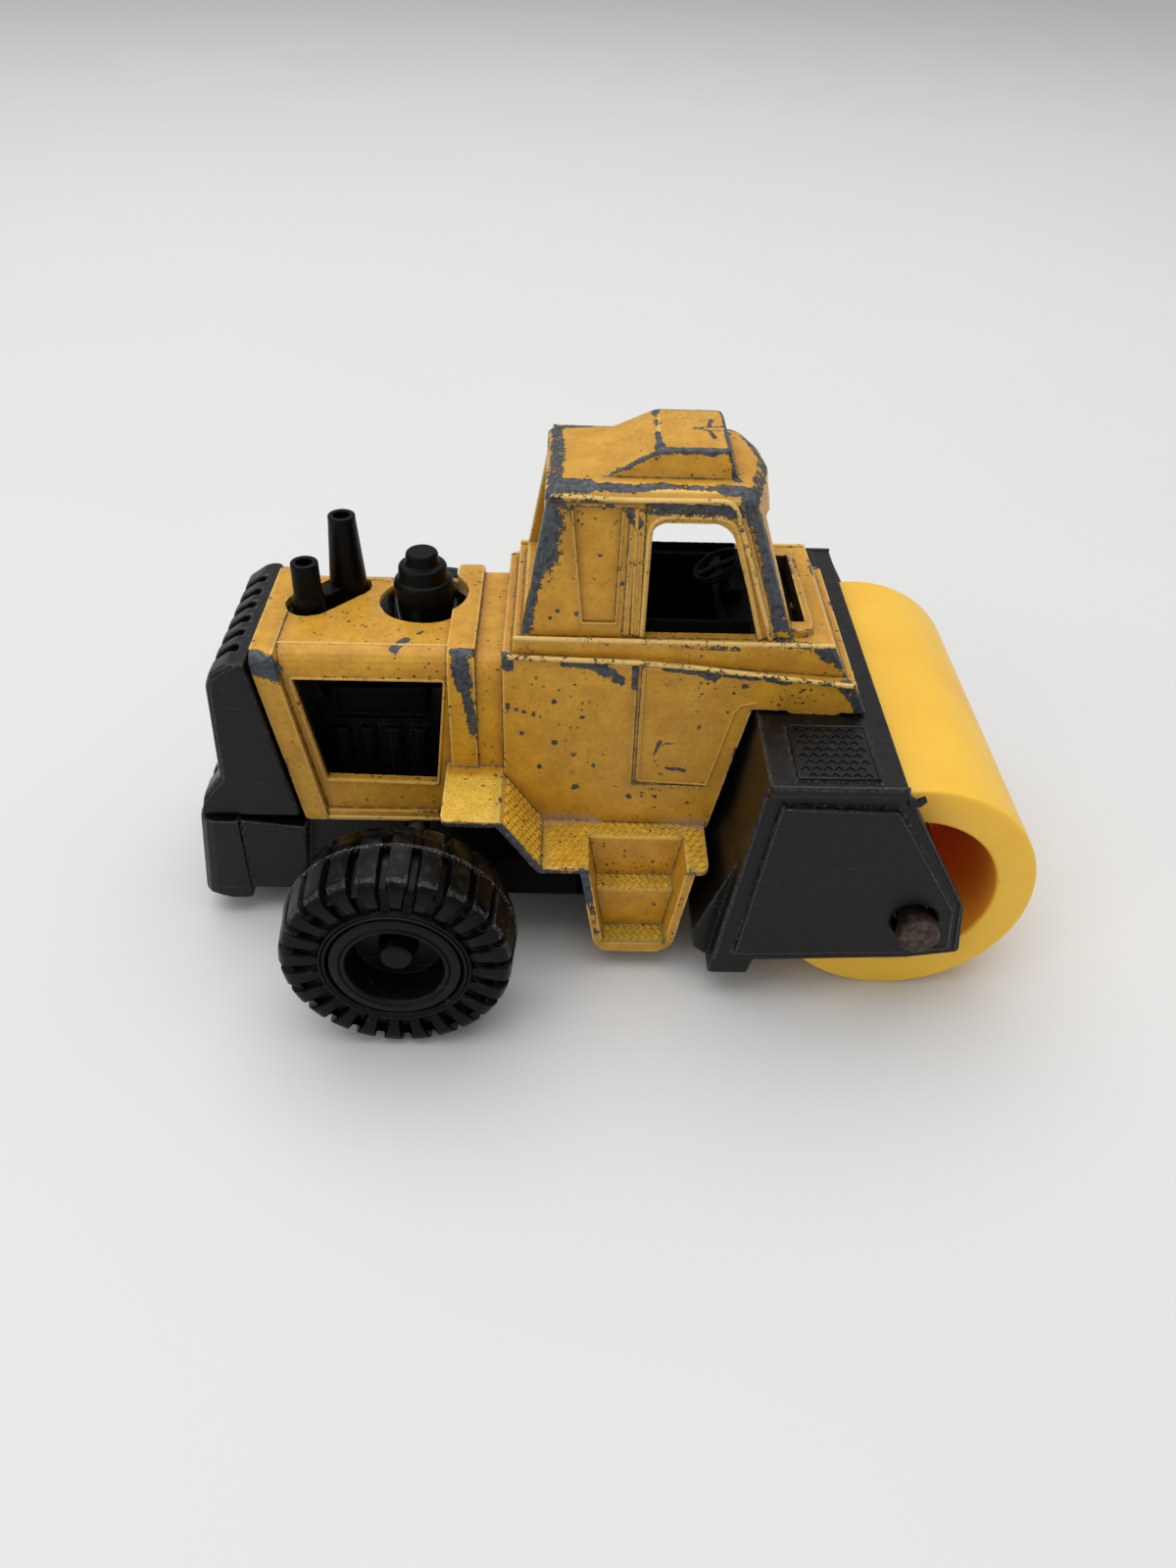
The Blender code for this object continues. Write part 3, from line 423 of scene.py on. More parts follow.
def melt(points, tris, away, band, rounds, softer=None):
    """Rounds the sharp edges by easing the points near them; softer widens the band point by point."""
    band = band * (1.0 if softer is None else softer(points))
    ends, _ = edges_of(tris)
    flat = np.concatenate([ends[:, 0], ends[:, 1]])
    other = np.concatenate([ends[:, 1], ends[:, 0]])
    count = np.bincount(flat, minlength=len(points))[:, None]
    weight = np.clip(1.3 - away / band, 0, 1)[:, None] * 0.5
    for turn in range(rounds * (1 if softer is None else 4)):  # the wider bands go on for longer
        if softer is not None and turn == rounds:
            weight = weight * (band > band.min() * 1.2)[:, None]
        total = np.stack([np.bincount(flat, points[other, k], len(points)) for k in range(3)], axis=1)
        points = points + weight * (total / count - points)
    return points


def line_gap(points, start, end):
    """Distance from each point to the line between two points."""
    start, line = np.array(start, float), np.array(end, float) - np.array(start, float)
    t = np.clip((points - start) @ line / max(line @ line, 1e-9), 0, 1)
    return np.linalg.norm(points - start - t[:, None] * line, axis=1)


def wear(points, patches):
    """How worn each point is: the strongest of the capsules (start, end, radius, strength)."""
    best = np.zeros(len(points))
    for start, end, radius, strength in patches:
        gap = line_gap(points, start, end)
        best = np.maximum(best, strength * np.clip(2.0 * (1 - gap / radius), 0, 1))
    return best


def patch_gap(points, patches):
    """Distance from each point to the nearest of the capsules."""
    best = np.full(len(points), FAR)
    for start, end, radius, _ in patches:
        best = np.minimum(best, line_gap(points, start, end) - radius)
    return best


def casting_fields(points, tris):
    """Fields of the painted casting: footplates, low steps, dust, and painted shade on the inside of the cab, the
    hood and the windscreen slot.
    """
    x, y, z = points.T
    side = np.abs(y)

    def room(half, behind, ahead, floor, roof):
        return (side < half) & (x > behind) & (x < ahead) & (z > floor) & (z < roof)

    beyond = side - (12.9 + 0.036 * np.clip(x - 11.6, 0, 30))
    plate = np.clip(beyond / 0.25, 0, 1) * np.clip((24.9 - z) / 0.2, 0, 1) * np.clip((x - 3.5) / 0.2, 0, 1)
    dusty = [((16.6, -13.0, 17.1), (22.4, -13.0, 17.1), 1.6, 0.8)]
    dusty += [((32.4, -13.4, 17.1), (36.2, -13.4, 17.1), 1.5, 0.8)]
    dusty += [((17.0, -13.0, 16.8), (17.6, -20.6, 17.0), 0.8, 0.35)]
    dust = wear(np.c_[x, -side, z], dusty)
    a, b, c = (points[tris[:, k]] for k in range(3))
    facing = np.cross(b - a, c - a)
    normal = np.zeros_like(points)
    for k in range(3):
        np.add.at(normal, tris[:, k], facing)
    normal /= np.maximum(np.linalg.norm(normal, axis=1), 1e-9)[:, None]
    # painted shade: inner marks the inward faces of the cab and the hood, the inner faces round the windscreen, and
    # the slot below it, where the coat is turned near black
    cab, hood = room(9.6, 16.5, 41.8, 44.0, 59.9), room(10.0, -16.4, 50.0, 12.0, 39.0)
    screen = room(8.9, 37.2, 45.5, 45.7, 58.0)
    slot = room(8.6, 38.0, 47.05, 38.5, 44.35) & (normal[:, 2] < 0.6)
    to_middle = normal[:, 0] * np.sign(28.5 - x) * 0.6 - normal[:, 1] * np.sign(y)
    inward = np.maximum(to_middle, -normal[:, 2] - 0.3)
    inner = (cab | hood) * np.clip(inward * 3.0, 0, 1)
    inner = np.maximum(inner, screen * np.clip((0.75 - normal[:, 0]) * 4.0, 0, 1))
    inner = np.maximum(inner, slot)
    low = np.clip((23.0 - z) / 19.0, 0, 0.9) * plate
    return {"plate": plate, "low": low, "dust": dust, "inner": inner}


def show(mesh, look, body, slot, replaces=(), angle=50.0, fields=None):
    """Finishes a mesh that is in part millimetres and makes it a piece on a body."""
    mesh.transform(Matrix.Scale(MM, 4) @ Matrix.Translation(SHIFT))
    mesh.shade_smooth()
    mesh.set_sharp_from_angle(angle=math.radians(angle))
    mesh.materials.append(LOOKS[look])
    for key, values in (fields or {}).items():
        mesh.attributes.new(key, "FLOAT", "POINT").data.foreach_set("value", np.array(values, np.float32))
    obj = place(mesh.name, mesh)
    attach(obj, body)
    if replaces:
        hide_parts(*replaces)


def place(name, data):
    """A new object in the scene."""
    obj = bpy.data.objects.new(name, data)
    bpy.context.scene.collection.objects.link(obj)
    return obj


def mesh_of(name, bm):
    """A mesh from a bmesh, with its faces turned outwards."""
    bmesh.ops.recalc_face_normals(bm, faces=bm.faces)
    mesh = bpy.data.meshes.new(name)
    bm.to_mesh(mesh)
    bm.free()
    return mesh


# The look, body and slot of the black pieces that have no CAD node of their own.
BLACK, CAB, STACK = ((look, "toy_body", "black_plastic") for look in ("black", "cab_black", "stack_black"))


def plain_piece(name, bm, look, body, slot, replaces=(), angle=50.0, **fields):
    """A piece that isn't softened; a field is one number for the whole piece or one per vertex."""
    mesh = mesh_of(name, bm)
    fields = {"rim": 3.0, "nook": 3.0, "worn": 0.0, **fields}
    fields = {key: np.broadcast_to(v, len(mesh.vertices)) for key, v in fields.items()}
    show(mesh, look, body, slot, replaces, angle, fields)


def soft_piece(
    name, bm, look, body, slot, replaces=(), patches=(), band=0.45, rounds=4, softer=None, bends=(22, 22), clear=None
):
    """A CAD-shaped piece with rounded edges and the fields that its finish reads."""
    coarse = 1.0
    near, far = 0.4 * coarse, 1.5 * coarse
    convex, concave = creases(bm, *bends)
    points, tris = arrays(bm)

    def measure(spots):
        return np.minimum(distances(convex + concave, spots), patch_gap(spots, patches))

    away = measure(points)
    going = True
    while going:
        points, tris, away, going = split_long(points, tris, away, measure, near, far, band)
    fields = {
        "rim": distances(convex, points),
        "nook": distances(concave, points),
        "worn": wear(points, patches),
    }
    if look == "paint":
        fields.update(casting_fields(points, tris))
    points = melt(points, tris, np.minimum(fields["rim"], fields["nook"]), band, rounds, softer)
    if clear is not None:
        points = clear(points)
    mesh = bpy.data.meshes.new(name)
    mesh.from_pydata(points.tolist(), [], tris.tolist())
    show(mesh, look, body, slot, replaces, 60.0, fields)


def lathe(profile, segments, centre, axis="Y"):
    """A bmesh turned from (radius, height) points; profiles that start and end on the axis close."""
    bm = bmesh.new()
    rings = []
    for radius, height in profile:
        ring = []
        for i in range(segments if radius > 1e-6 else 1):
            angle = math.tau * i / segments
            u, v = radius * math.cos(angle), radius * math.sin(angle)
            spot = Vector((u, height, v)) if axis == "Y" else Vector((u, v, height))
            ring.append(bm.verts.new(spot + Vector(centre)))
        rings.append(ring)
    closed = profile[0][0] > 1e-6
    for low, high in zip(rings, rings[1:] + (rings[:1] if closed else [])):
        for i in range(segments):
            j = (i + 1) % segments
            corners = (low[i % len(low)], low[j % len(low)], high[j % len(high)], high[i % len(high)])
            corners = tuple(dict.fromkeys(corners))
            if len(corners) > 2:
                bm.faces.new(corners)
    return bm


def rounded(profile, radius, steps=4):
    """The profile with each corner that is more than a slight bend turned into an arc."""
    points = [Vector(p) for p in profile]
    made = [points[0]]
    for before, here, after in zip(points, points[1:], points[2:]):
        a, b = before - here, after - here
        if a.length < 1e-6 or b.length < 1e-6 or abs(a.angle(b) - math.pi) < 0.35:
            made.append(here)
            continue
        reach = min(radius, a.length * 0.45, b.length * 0.45)
        start, end = here + a.normalized() * reach, here + b.normalized() * reach
        for i in range(steps + 1):
            t = i / steps
            made.append(start.lerp(here, t).lerp(here.lerp(end, t), t))
    return [tuple(p) for p in made + [points[-1]]]


def skin(bm, rings, ends=True):
    """Faces from ring to ring of vertices, and over both ends."""
    for low, high in zip(rings, rings[1:]):
        for k in range(len(low)):
            m = (k + 1) % len(low)
            bm.faces.new((low[k], low[m], high[m], high[k]))
    if ends:
        bm.faces.new(rings[0])
        bm.faces.new(rings[-1])


def loft(rings):
    """A closed bmesh through rings of points."""
    bm = bmesh.new()
    skin(bm, [[bm.verts.new(p) for p in ring] for ring in rings])
    bmesh.ops.recalc_face_normals(bm, faces=bm.faces)
    return bm


def bead(bm, path, radius, sides=8, squash=1.0, normal=(0, 1, 0)):
    """A round bar along a path of points, with capped ends, added to a bmesh."""
    points = [Vector(p) for p in path]
    out = Vector(normal).normalized()
    rings = []
    for i, point in enumerate(points):
        before, after = points[max(i - 1, 0)], points[min(i + 1, len(points) - 1)]
        forward = ((point - before).normalized() + (after - point).normalized()).normalized()
        side = forward.cross(out).normalized()
        bend = (point - before).angle(after - point, 0.0) if 0 < i < len(points) - 1 else 0.0
        wide = radius / max(math.cos(bend / 2), 0.4)
        ring = []
        for k in range(sides):
            angle = math.tau * k / sides
            across = side * wide * math.cos(angle)
            ring.append(bm.verts.new(point + across + out * radius * squash * math.sin(angle)))
        rings.append(ring)
    skin(bm, rings)


def flipped(points, sign):
    """The points as they are for the right side, or mirrored for the left."""
    return [(p[0], p[1] * sign, p[2]) for p in points]


# --- body


# Where the enamel is worn away most, on the right side: start, end, radius, strength.
WORN = [
    (16.6, -9.6, 60.4, 13.6, -11.2, 45.0, 2.1, 0.95),  # rear pillar
    (16.6, -9.6, 58.5, 15.4, -10.2, 52.6, 3.3, 0.8),
    (17.4, -8.0, 61.0, 21.0, -8.2, 61.0, 1.6, 0.92),  # roof rim
    (21.0, -8.3, 61.0, 26.0, -8.6, 60.9, 1.0, 0.84),
    (26.0, -8.6, 60.9, 29.6, -8.0, 61.0, 0.85, 0.78),
    (29.6, -8.1, 61.0, 35.6, -8.4, 60.9, 0.65, 0.7),
    (35.8, -8.4, 60.9, 39.4, -8.3, 60.7, 1.2, 0.86),
    (39.8, -7.6, 60.6, 41.2, 0.0, 60.6, 1.2, 0.66),
    (41.2, 0.0, 60.6, 39.6, 6.5, 60.6, 0.9, 0.6),
    (17.2, -8.6, 61.0, 17.6, 0.0, 61.0, 1.5, 0.84),  # roof's rear edge
    (23.6, -6.5, 61.5, 28.8, -5.9, 64.0, 0.6, 0.72),  # hump
    (28.6, -5.9, 64.1, 36.6, -5.9, 64.1, 0.85, 0.76),
    (36.7, -5.9, 64.0, 36.8, 0.0, 64.0, 0.7, 0.8),
    (36.7, -6.0, 63.8, 37.6, -6.5, 61.2, 0.8, 0.76),
    (28.8, -5.4, 64.1, 28.8, -4.4, 64.1, 0.8, 0.84),
    (28.8, -4.0, 64.1, 28.7, -1.0, 64.1, 0.45, 0.76),
    (33.0, 0.1, 64.1, 34.6, 0.4, 64.1, 0.45, 0.8),
    (34.6, 0.4, 64.1, 35.0, 2.6, 64.1, 0.4, 0.75),
    (34.6, 0.4, 64.1, 36.1, 0.5, 64.1, 0.35, 0.7),
    (28.0, -9.5, 58.8, 37.6, -9.5, 58.6, 1.0, 0.74),  # above the window
    (25.6, -9.5, 58.4, 26.6, -9.6, 57.2, 0.9, 0.7),
    (38.8, -9.3, 60.0, 41.0, -9.6, 55.0, 1.5, 0.85),  # front pillar
    (41.0, -9.6, 55.0, 43.8, -10.8, 45.4, 1.4, 0.8),
    (43.6, -11.2, 43.4, 49.6, -12.4, 42.9, 0.8, 0.66),  # belt, under its upper line
    (49.0, -12.8, 42.6, 51.2, -12.8, 41.4, 1.3, 0.72),
    (31.0, -12.3, 43.0, 39.0, -12.3, 43.0, 0.45, 0.5),
    (18.8, -12.8, 40.8, 22.6, -12.9, 40.6, 0.75, 0.76),  # under its lower line
    (22.8, -12.9, 40.5, 25.2, -13.0, 38.9, 1.1, 0.76),
    (11.9, -12.4, 41.3, 12.3, -12.4, 40.2, 0.95, 0.9),
    (27.0, -13.1, 41.4, 27.1, -13.1, 37.8, 0.5, 0.8),
    (30.6, -13.2, 40.8, 33.4, -13.2, 40.5, 0.7, 0.84),
    (34.2, -13.3, 40.4, 36.2, -13.4, 39.7, 1.0, 0.84),
    (36.2, -13.4, 40.1, 41.6, -13.5, 39.7, 0.4, 0.6),
    (42.8, -13.6, 39.9, 44.6, -13.7, 39.5, 0.9, 0.84),
    (6.2, -10.6, 40.6, 7.7, -10.6, 40.6, 1.0, 0.8),  # hood band
    (6.6, -11.2, 39.8, 7.0, -11.4, 36.6, 1.45, 0.9),
    (7.1, -11.4, 36.6, 7.9, -11.5, 29.8, 0.8, 0.84),
    (-17.6, -11.2, 39.4, -15.4, -11.4, 38.0, 1.9, 0.98),  # hood front corner
    (-13.4, -11.2, 34.0, -12.2, -11.2, 28.0, 0.5, 0.6),
    (-1.4, -8.6, 39.7, -0.2, -6.6, 39.8, 0.75, 0.95),  # hood edge
    (1.2, -5.2, 39.8, 1.5, -4.8, 39.8, 0.45, 0.85),
    (4.6, -22.0, 23.7, 11.4, -22.0, 23.7, 0.55, 0.7),  # footplate edges
    (11.4, -22.0, 23.6, 16.4, -22.0, 16.6, 0.8, 0.85),
    (16.4, -22.0, 16.5, 22.0, -22.0, 16.5, 0.6, 0.7),
    (21.6, -22.0, 16.4, 22.4, -22.0, 12.0, 0.8, 0.85),
    (22.6, -22.0, 12.0, 23.6, -22.0, 6.0, 0.6, 0.5),
    (51.6, -14.0, 39.2, 54.4, -14.0, 35.6, 1.3, 0.75),  # cowl corner
    (12.0, -12.6, 34.6, 17.5, -12.8, 33.6, 1.6, 0.16),  # sprinkles of small dots
    (13.5, -12.7, 31.0, 20.5, -12.8, 29.0, 2.2, 0.14),
    (19.0, -12.8, 26.0, 36.0, -13.3, 21.5, 2.4, 0.14),
    (31.0, -13.2, 38.0, 40.0, -13.6, 36.8, 2.2, 0.14),
]
# Bare dots and scratches on the side faces: x, z and size.
BODY_DOTS = [(12.2, 34.4, 0.4), (13.2, 34.0, 0.45), (14.2, 33.7, 0.5), (15.2, 33.4, 0.45), (16.0, 33.1, 0.4)]
BODY_DOTS += [(17.7, 35.4, 0.45), (21.0, 33.4, 0.6), (13.8, 30.6, 0.5), (17.8, 29.4, 0.6), (11.3, 29.0, 0.4)]
BODY_DOTS += [(22.6, 26.1, 0.55), (20.5, 22.6, 0.6), (27.1, 21.4, 0.6), (28.8, 22.1, 0.35), (30.4, 21.6, 0.35)]
BODY_DOTS += [(34.6, 20.7, 0.4), (35.1, 37.3, 0.4), (39.9, 38.6, 0.45), (35.1, 32.5, 0.35), (16.0, 25.6, 0.5)]
CAB_DOTS = [(22.5, 53.3, 0.7), (21.6, 55.5, 0.4), (23.5, 58.9, 0.5), (22.0, 57.1, 0.35), (18.0, 46.5, 0.4)]
CAB_DOTS += [(17.1, 45.7, 0.4), (20.0, 58.9, 0.4), (25.2, 50.0, 0.3)]
BODY_SCRATCHES = [((30.6, 30.1), (30.0, 28.2), 0.36), ((31.3, 29.8), (32.2, 29.9), 0.26)]
BODY_SCRATCHES += [((31.6, 26.2), (33.7, 25.9), 0.36)]


def body_patches():
    """The worn places as capsules, on both sides; the left side's are a little smaller."""
    capsules = [(row[:3], row[3:6], *row[6:]) for row in WORN]
    for side, spots in ((body_side, BODY_DOTS), (cab_side, CAB_DOTS)):
        capsules += [(side(x, z), side(x, z), size, 0.86) for x, z, size in spots]
    capsules += [(body_side(*a), body_side(*b), size, 0.90) for a, b, size in BODY_SCRATCHES]
    left = [(*flipped((start, end), -1), radius * 0.9, strength * 0.93) for start, end, radius, strength in capsules]
    return capsules + left


def make_body():
    """The painted casting, with a rounder roof and an arch over the axle."""

    def rounder_roof(points):
        high = np.clip((points[:, 2] - 59.6) / 0.6, 0, 1)
        return 1.0 + high * (1.6 + 2.0 * np.clip((19.0 - points[:, 0]) / 1.5, 0, 1))

    def over_axle(points):
        x, y, z = points.T
        arch = np.clip((AXLE_R + AXLE_ROOM) ** 2 - x**2, 0, None) ** 0.5
        lift = np.clip(arch - AXLE_R, 0, None) * np.clip(1.0 - (z - WHEEL_R - AXLE_R), 0, 1)
        return np.stack([x, y, z + lift], axis=1)

    given = dict(patches=body_patches(), softer=rounder_roof, bends=(24, 30), clear=over_axle)
    bm = cad_mesh("body_casting")
    soft_piece("casting_shell", bm, "paint", "toy_body", "paint", ("body_casting",), **given)


def cab_side(x, z, out=0.0):
    """A point on the cab's right side face."""
    t = (z - 43.3) / (61.0 - 43.3)
    return (x, -(11.0 + (9.1 - 11.0) * t) - out, z)


def belt_side(x, z, out=0.0):
    """A point on the belt's upper edge, which flares a little towards the front."""
    return (x, -(11.9 + 0.012 * (x - 12.9)) - out, z)


def body_side(x, z, out=0.0):
    return (x, -(12.5 + 0.036 * (x - 11.6)) - out, z)


def hood_side(x, z, out=0.0):
    return (x, -10.4 - out, z)


def make_trim():
    """Raised lines of the casting: eave and pillar frame, window rim, belt lips and door edge."""
    window = rounded([(27.7, 43.7), (28.0, 57.9), (37.3, 57.9), (41.4, 43.7)], 2.3, 6)
    eave = rounded([(17.0, 60.1), (25.1, 59.8), (37.0, 59.9), (42.6, 43.7)], 1.4, 4)
    panel = [(19.4, 58.4), (20.7, 45.1), (24.7, 45.1), (25.0, 58.4)]
    ribs = [(26.5, 58.8), (26.6, 44.0)]
    door = [(28.2, 40.6), (28.2, 24.1), (36.7, 23.8), (39.1, 34.9), (39.7, 35.9), (41.6, 36.4)]
    upper = [(12.9, 43.5), (49.9, 43.5)]
    lower = [(12.2, 41.4), (27.2, 41.3), (34.0, 40.9), (44.4, 39.9), (52.4, 39.2)]
    bay = rounded([(-4.0, 36.5), (4.6, 36.5), (3.1, 20.7), (-11.1, 21.1), (-13.8, 36.5), (-4.0, 36.5)], 0.5, 3)
    rail = [(-13.9, 15.5), (3.0, 15.4)]
    brow = [(-15.3, 39.75), (5.2, 39.75)]
    for sign, word in ((1, "right"), (-1, "left")):
        bm = bmesh.new()
        rims = []
        # the last column sets the rim field of each line: the lower it is, the stronger the painted highlight along
        # the line and the more it chips
        for line, side, radius, squash, out, rim in (
            (window, cab_side, 0.34, 1.2, 0.0, 0.16),
            (eave, cab_side, 0.28, 1.2, 0.30, 0.06),
            (panel, cab_side, 0.14, 1.2, 0.0, 0.24),
            (ribs, cab_side, 0.26, 1.3, 0.0, 0.24),
            (door, body_side, 0.14, 1.1, 0.03, 0.26),
            (upper, belt_side, 0.30, 1.1, -0.1, 0.03),
            (lower, body_side, 0.32, 1.1, 0.0, 0.05),
            (bay, hood_side, 0.18, 1.0, 0.03, 0.22),
            (rail, hood_side, 0.30, 1.0, 0.5, 0.12),
            (brow, hood_side, 0.20, 1.0, -2.6, 0.10),
        ):
            bead(bm, flipped([side(x, z, out) for x, z in line], sign), radius, squash=squash)
            rims += [rim] * (len(bm.verts) - len(rims))
        worn = wear(np.array([v.co[:] for v in bm.verts]), body_patches()) * 0.40
        plain_piece("casting_lines_" + word, bm, "trim", "toy_body", "paint", rim=rims, nook=0.7, worn=worn)


def chevron(bm, centre, along, over, up, length, height, width):
    """A small V-shaped ridge: along and over are unit vectors in the plate, up is its normal."""
    tips = [centre - along * length / 2 - over * length * 0.3, centre + over * length * 0.25]
    tips.append(centre + along * length / 2 - over * length * 0.3)
    foot, crest, sunk, peak = over * width / 2, over * width / 6, up * 0.12, up * height
    shape = [(p - foot - sunk, p - crest + peak, p + crest + peak, p + foot - sunk) for p in tips]
    skin(bm, [[bm.verts.new(p) for p in ring] for ring in shape])


def make_treads():
    """Grip pattern on the footplates and step treads of both sides."""
    plates = (  # x range, |y| range, height at each x end
        ((16.9, 22.2), (13.4, 21.6), (17.1, 17.1)),
        ((22.2, 34.4), (13.4, 15.6), (17.1, 17.1)),
        ((34.4, 36.7), (13.9, 21.6), (17.1, 17.1)),
        ((23.5, 33.0), (16.3, 18.6), (10.8, 10.8)),
        ((24.6, 31.9), (19.1, 21.7), (4.5, 4.5)),
        ((11.9, 16.1), (13.0, 21.6), (23.7, 17.5)),
    )
    pitch = 0.92
    for side, word in SIDES:
        bm = bmesh.new()
        for (x0, x1), (y0, y1), (z0, z1) in plates:
            slope = Vector((x1 - x0, 0, z1 - z0))
            along_x = slope.normalized()
            up = along_x.cross(Vector((0, 1, 0)))
            rows = max(1, round((y1 - y0) / pitch))
            columns = max(1, round(slope.length / pitch))
            for i in range(columns):
                for j in range(rows):
                    t = (i + 0.3 + (0.4 if j % 2 else 0.0)) / columns
                    if t > 0.97:
                        continue
                    y = side * (y0 + (j + 0.5) * (y1 - y0) / rows)
                    centre = Vector((x0, y, z0)) + slope * t
                    chevron(bm, centre, Vector((0, 1, 0)), along_x, up, 0.90, 0.26, 0.42)
        plain_piece("footplate_grip_" + word, bm, "tread_paint", "toy_body", "paint", rim=1.4, nook=0.9)


def make_pads():
    """Raised chevrons and a border on the yoke's two tread pads."""
    top = 35.3
    for side, word in SIDES:
        bm = bmesh.new()
        for i in range(7):
            for j in range(8):
                x = 45.9 + i * 1.24 + (0.62 if j % 2 else 0.0)
                if x > 53.2:
                    continue
                y = side * (17.3 + j * 1.2)
                chevron(bm, Vector((x, y, top)), *Matrix.Identity(3), 1.0, 0.16, 0.42)
        y0, y1 = side * 16.6, side * 26.4
        ring = [(45.0, y0, top), (53.9, y0, top), (53.9, y1, top), (45.0, y1, top), (45.0, y0, top)]
        bead(bm, ring, 0.2, normal=(0, 0, 1))
        plain_piece("pad_grip_" + word, bm, *BLACK, rim=0.6, nook=0.9)


def make_yoke_lines():
    """Ridges on the yoke's side plates, the pin's washers, and moulding flash at one corner."""
    lip = [(41.9, 34.9), (57.0, 34.9)]
    ridge = [(41.5, 33.4), (41.1, 30.2), (40.5, 25.6), (39.5, 18.4), (38.0, 7.4)]
    panel = [(40.5, 9.0), (41.9, 20.5), (43.4, 31.8), (56.5, 31.5), (65.6, 16.4), (66.3, 10.4), (61.5, 9.4)]
    front = [(57.4, 33.4), (66.6, 17.2), (67.5, 9.6)]
    for sign, word in ((1, "right"), (-1, "left")):
        bm = bmesh.new()
        for line, sunk, radius in ((lip, 0.0, 0.34), (ridge, 0.60, 0.34), (panel, 0.06, 0.20), (front, 0.60, 0.20)):
            bead(bm, flipped([(x, sunk - YOKE_Y, z) for x, z in line], sign), radius)
        plain_piece("yoke_lines_" + word, bm, *BLACK, rim=0.12, nook=0.5)
    for side, word in SIDES:
        ring = [(r, side * y) for r, y in ((2.1, 24.8), (4.7, 24.8), (4.7, 25.4), (2.1, 25.4))]
        plain_piece("pin_washer_" + word, lathe(ring, 48, (PIN.x, 0, PIN.z)), *CAB, rim=1.0)
    base = [(56.9, -27.9, 33.9), (57.5, -27.9, 32.5), (57.2, -27.1, 32.6), (56.8, -27.1, 34.0)]
    middle = [(58.20, -27.8, 33.4), (58.60, -27.8, 32.6), (58.40, -27.3, 32.7), (58.10, -27.3, 33.4)]
    tip = [(58.90, -27.6, 34.0), (59.30, -27.6, 33.2), (59.10, -27.4, 33.2), (58.90, -27.4, 33.9)]
    plain_piece("moulding_flash", loft([base, middle, tip]), *BLACK, rim=0.8, nook=1.0)


def make_small_castings():
    """Tabs under the cowl's edge, and dark sheets inside the cab's side windows that stand in for the shade there.
    """
    for side, word in SIDES:
        rings = []
        for x in (45.2, 45.5, 51.4, 51.7):
            near, far = side * -body_side(x, 0, -0.03)[1], side * 12.6
            rings.append([(x, near, 35.7), (x, far, 35.7), (x, far, 34.98), (x, near, 34.98)])
        for k in (0, -1):
            rings[k] = [(x, y, z + 0.25) for x, y, z in rings[k]]
        soft_piece("cowl_tab_" + word, loft(rings), "paint", "toy_body", "paint", band=0.3, rounds=2)
        # painted shade: a thin near-black sheet along the inside of each side window's sill
        corners = ((9.7, 38.4), (10.0, 38.4), (9.7, 45.1), (9.4, 45.1))
        rings = [[(x, side * y, z) for y, z in corners] for x in (27.2, 31.0, 35.0, 40.4)]
        soft_piece("sill_shade_sheet_" + word, loft(rings), *CAB, band=0.1, rounds=1)


# --- black parts


def make_blacks():
    for node, look, rounds in (
        ("radiator_grille", "black", 5),
        ("base_moulding", "black", 4),
        ("drum_frame", "black", 5),
        ("engine_block", "shaded_engine_black", 3),
        ("cab_interior", "cab_black", 3),
        ("driver_seat", "cab_black", 5),
        ("steering_wheel", "cab_black", 1),
    ):
        soft_piece(node + "_skin", cad_mesh(node), look, "toy_body", "black_plastic", (node,), rounds=rounds)


def make_sills():
    """Black sill on each side of the base, in the gap between the wheel and the step box: a dark piece that stands
    in for the shade under the base there, and carries its dark lower edge down.
    """
    for side, word in SIDES:
        rings = []
        for x, reach in ((4.4, 18.6), (20.9, 18.6), (21.3, 17.3), (35.0, 17.3)):
            top = 15.6 if x < 21 else 9.2
            corners = ((10.0, 4.0), (13.4, 4.6), (reach, reach - 9.0), (reach, top), (10.0, top))
            rings.append([(x, side * y, z) for y, z in corners])
        # painted shade: near-black sills that darken the floor under the base
        soft_piece("base_shade_sill_" + word, loft(rings), *CAB, band=0.3, rounds=2)


def make_stacks():
    """Exhaust stacks with true round walls, and the web between them."""
    foot = 33.3
    short = [(0, foot), (2.1, foot), (2.1, 40.5), (1.75, 41.2), (1.7, 45.6), (1.0, 45.6), (1.0, 42.0), (0, 42.0)]
    tall = [(0, foot), (2.3, foot), (2.3, 41.0), (1.7, 49.0), (1.7, 49.6), (1.0, 49.6), (1.0, 44.0), (0, 44.0)]
    spots = ((-13.1, 1.4), (-8.9, 6.2))
    for name, profile, (x, y) in (("stack_short", short, spots[0]), ("stack_tall", tall, spots[1])):
        plain_piece(name, lathe(rounded(profile, 0.22), 48, (x, y, 0), "Z"), *STACK, rim=0.8)
    a, b = Vector((*spots[0], 0)), Vector((*spots[1], 0))
    side = Vector((a.y - b.y, b.x - a.x, 0)).normalized() * 1.1
    plan = (a + side, b + side, b - side, a - side)
    rings = [[p + Vector((0, 0, z)) for p in plan] for z in (foot, 40.6)]
    soft_piece("stack_web", loft(rings), *STACK, ("exhaust_stacks",))


